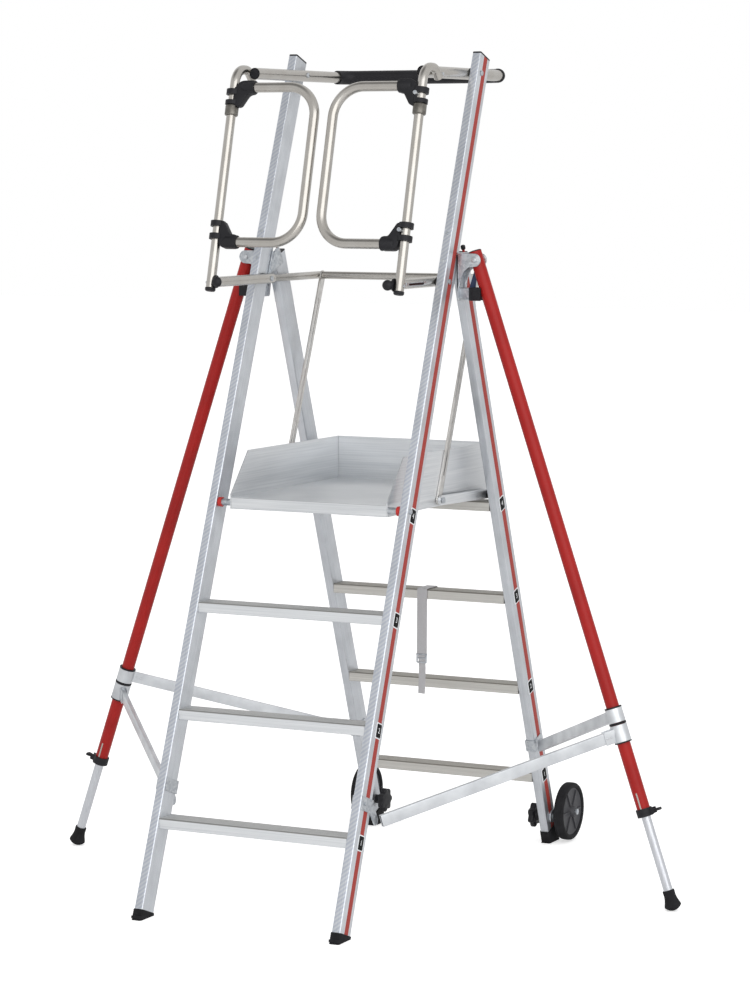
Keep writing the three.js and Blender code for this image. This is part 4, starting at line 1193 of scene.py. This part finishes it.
def draw_lever(bm):
    pivot = beside(26)
    bolt(bm, pivot + Vector((0, -6, 0)), pivot + Vector((0, 6, 0)), 4.2, 24)
    sweep(bm, [pivot + outrigger_out * 2, pivot + outrigger_out * 12], rounded(7, 12, 1.5), None,
          (0, 1, 0))
    sweep(bm, [pivot + outrigger_out * 10, pivot + outrigger_out * 19], rounded(7, 18, 2.5), None,
          (0, 1, 0))


pair("leg_clamp_moulding", draw_leg_clamp, black_moulding, "outrigger_@",
     ["leg_clamp_@"], edge=0.6)
pair("lever_moulding", draw_lever, black_moulding, "lever_@", ["clamp_lever_@"],
     edge=0.8)

# The legs are bright aluminium tubes that slide in the outriggers, with ball-ended rubber feet.
drawn = (300, 300, 8)
leg_aluminium = finish("drawn_aluminium_tube", (drawn, 2, "b9bcc2", "dcdee2"),
                       (drawn, 2, 0.24, 0.42), Metallic=0.85)
ball = 26
ball_at = (1631 - ball) / cos(outrigger_angle)


def draw_leg(bm):
    sleeve(bm, 1290, ball_at + 2, 12, 10.2)


def draw_foot(bm):
    boot = [(12.3, 1667.8), (15, 1668.2), (15.4, 1672), (15, 1682), (16.2, 1690), (18.5, 1698),
            (20.8, 1704.5)]
    for i in range(12):
        turn = radians(57 - 5 * i)
        boot.append((ball * sin(turn), ball_at + ball * cos(turn)))
    lathe(bm, boot, outrigger_at, outrigger_down, 40)
    for v in bm.verts:
        v.co.z = max(v.co.z, 0)


pair("leg_bright_tube", draw_leg, leg_aluminium, "leg_@", ["leg_tube_@"], smooth=40)
pair("foot_moulding", draw_foot, dull_rubber, "leg_@", ["foot_@"], smooth=45)

# The struts are aluminium box bars from the stiles to collars on the outriggers. Each collar is
# a sheet folded round the tube and riveted to the bar.
strut_aluminium = finish("extruded_aluminium_strut", (14, 3, "bfc2c6", "dde0e3", 0.3, 0.7),
                         (260, 3, 0.3, 0.48), Metallic=0.8)


def draw_strut(bm, top, length, end):
    centre = on_outrigger(top + length / 2)
    away = (Vector(end) - centre).normalized()
    sweep(bm, [centre + away * 20, Vector(end)], rounded(12, 30, 1.5), rounded(8.8, 26.8, 0.6))
    sleeve(bm, top, top + length, 22, 17.3, 40)
    cheek = away.cross(Vector((0, 0, 1))).normalized()
    for turn in (-1, 1):
        start = centre + away * 18 + cheek * turn * 7.2
        sweep(bm, [start, start + away * 30], rounded(2.2, length * 0.8, 0.8))
    for reach in (30, 42):
        for turn in (-1, 1):
            start = centre + away * reach + cheek * turn * 8
            bolt(bm, start, start + cheek * turn * 1.2, 3.5, 16, 1)


def draw_front_strut(bm):
    draw_strut(bm, 1233, 44, (297, 217.6, 264.4))


def draw_rear_strut(bm):
    draw_strut(bm, 1190, 36, (293.3, 1199.4, 290.3))


pair("front_strut_bar", draw_front_strut, strut_aluminium, "front_strut_@",
     ["front_strut_@"], edge=0.5)
pair("rear_strut_bar", draw_rear_strut, strut_aluminium, "rear_strut_@",
     ["rear_strut_@"], edge=0.5)

# The strap is grey webbing, hung over a rear rung and sewn to a buckle. Its weave is a 2 mm rib.
webbing, tree, shader = start_material("woven_grey_webbing", Roughness=0.85)
at = add(tree, "TexCoord").outputs["Object"]
threads = []
for way, scale, waver in (("Z", 160.0, 0.6), ("X", 120.0, 0.4)):
    wave = {"bands_direction": way, "Scale": scale, "Distortion": waver, "Vector": at}
    threads.append(add(tree, "TexWave", wave).outputs[1])
weave = calc(tree, "MULTIPLY", *threads)
tree.links.new(two_tones(tree, weave, "a9a8aa", "cccbcd"), shader.inputs["Base Color"])
relief(tree, shader, weave, 0.5, 0.0006)
strap_x = 15
strap_thick = 2
strap_y = rear_foot - 726 * tan(rear_lean) + 5


def draw_strap(bm):
    front = strap_y - 1.5
    back = strap_y + rung_deep + 1.5
    line = bent([(strap_x, front - 2, 541), (strap_x, front, 728.2), (strap_x, back, 728.2),
                 (strap_x, back, 694)], (3, 3), 5)
    sweep(bm, line, rounded(30, strap_thick, 0.8), None, (0, -1, 0))
    tail = [(strap_x, front - 2, 541), (strap_x + 1, front - 1, 510), (strap_x, front, 480),
            (strap_x - 2, front + 0.5, 440)]
    sweep(bm, tail, rounded(20, strap_thick, 0.8), None, (0, -1, 0))


def draw_buckle(bm):
    for z, half in ((548, 16), (538, 13.5), (526, 14)):
        sweep(bm, [(strap_x - half, strap_y - 4, z), (strap_x + half, strap_y - 4, z)], circle(2.2, 12))
    for x in (-14, 13):
        sweep(bm, [(strap_x + x, strap_y - 4, 526), (strap_x + x, strap_y - 4, 548)],
              circle(2.2, 12), None, (1, 0, 0))


strap = piece("strap_webbing", draw_strap, webbing, "rear_frame", ["strap"])
piece("strap_buckle", draw_buckle, zinc_steel, "rear_frame")

# The floor is plain and pale. A large soft box and an even white room light the stand softly
# from the front and above.
floor_mesh = bpy.data.meshes.new("floor")
floor_mesh.from_pydata([(-30, -30, 0), (30, -30, 0), (30, 30, 0), (-30, 30, 0)], [], [(0, 1, 2, 3)])
floor = bpy.data.objects.new("floor", floor_mesh)
bpy.context.scene.collection.objects.link(floor)
floor_finish, tree, shader = start_material("pale_studio_floor", Base_Color=(0.9, 0.9, 0.9, 1),
                                            Roughness=0.9)
rays = add(tree, "LightPath")
seen = calc(tree, "MAXIMUM", rays.outputs["Is Camera Ray"], rays.outputs["Is Transmission Ray"])
mirrored = calc(tree, "MULTIPLY", rays.outputs["Is Glossy Ray"], 0.1)
glow = calc(tree, "MULTIPLY_ADD", seen, 0.5, mirrored)
white = add(tree, "Emission", {"Color": (1, 1, 1, 1), "Strength": glow})
both = add(tree, "AddShader", {0: shader.outputs[0], 1: white.outputs[0]})
tree.links.new(both.outputs[0], tree.nodes["Material Output"].inputs["Surface"])
floor_mesh.materials.append(floor_finish)

world = bpy.data.worlds.new("studio")
bpy.context.scene.world = world
world.use_nodes = True
tree = world.node_tree
rays = add(tree, "LightPath")
seen = calc(tree, "MAXIMUM", rays.outputs["Is Camera Ray"], rays.outputs["Is Transmission Ray"])
# The studio's ceiling is darker than its walls over the front of the stand, which shows in metal
way = add(tree, "TexCoord").outputs["Generated"]
ceiling = {"operation": "DOT_PRODUCT", 0: way, 1: (-0.349, -0.199, 0.916)}
room = spread(tree, add(tree, "VectorMath", ceiling).outputs["Value"], 0.85, 0.3, 0.8, 0.96)
glossy = rays.outputs["Is Glossy Ray"]
mirrored = add(tree, "Mix", {"data_type": "FLOAT", 0: glossy, 2: 0.75, 3: room}).outputs[0]
strength = add(tree, "Mix", {"data_type": "FLOAT", 0: seen, 2: mirrored, 3: 1.0}).outputs[0]
tree.nodes["Background"].inputs["Color"].default_value = (1, 1, 1, 1)
tree.links.new(strength, tree.nodes["Background"].inputs["Strength"])


def lamp(name, at, aim, size, watts):
    data = bpy.data.lights.new(name, "AREA")
    data.shape = "RECTANGLE"
    data.size, data.size_y = size
    data.energy = watts
    made = bpy.data.objects.new(name, data)
    made.location = at
    made.rotation_euler = (Vector(aim) - Vector(at)).to_track_quat("-Z", "Y").to_euler()
    bpy.context.scene.collection.objects.link(made)


lamp("soft_box", (4.1, -5.1, 3.5), (0, 0, 1.4), (9.0, 5.5), 230)
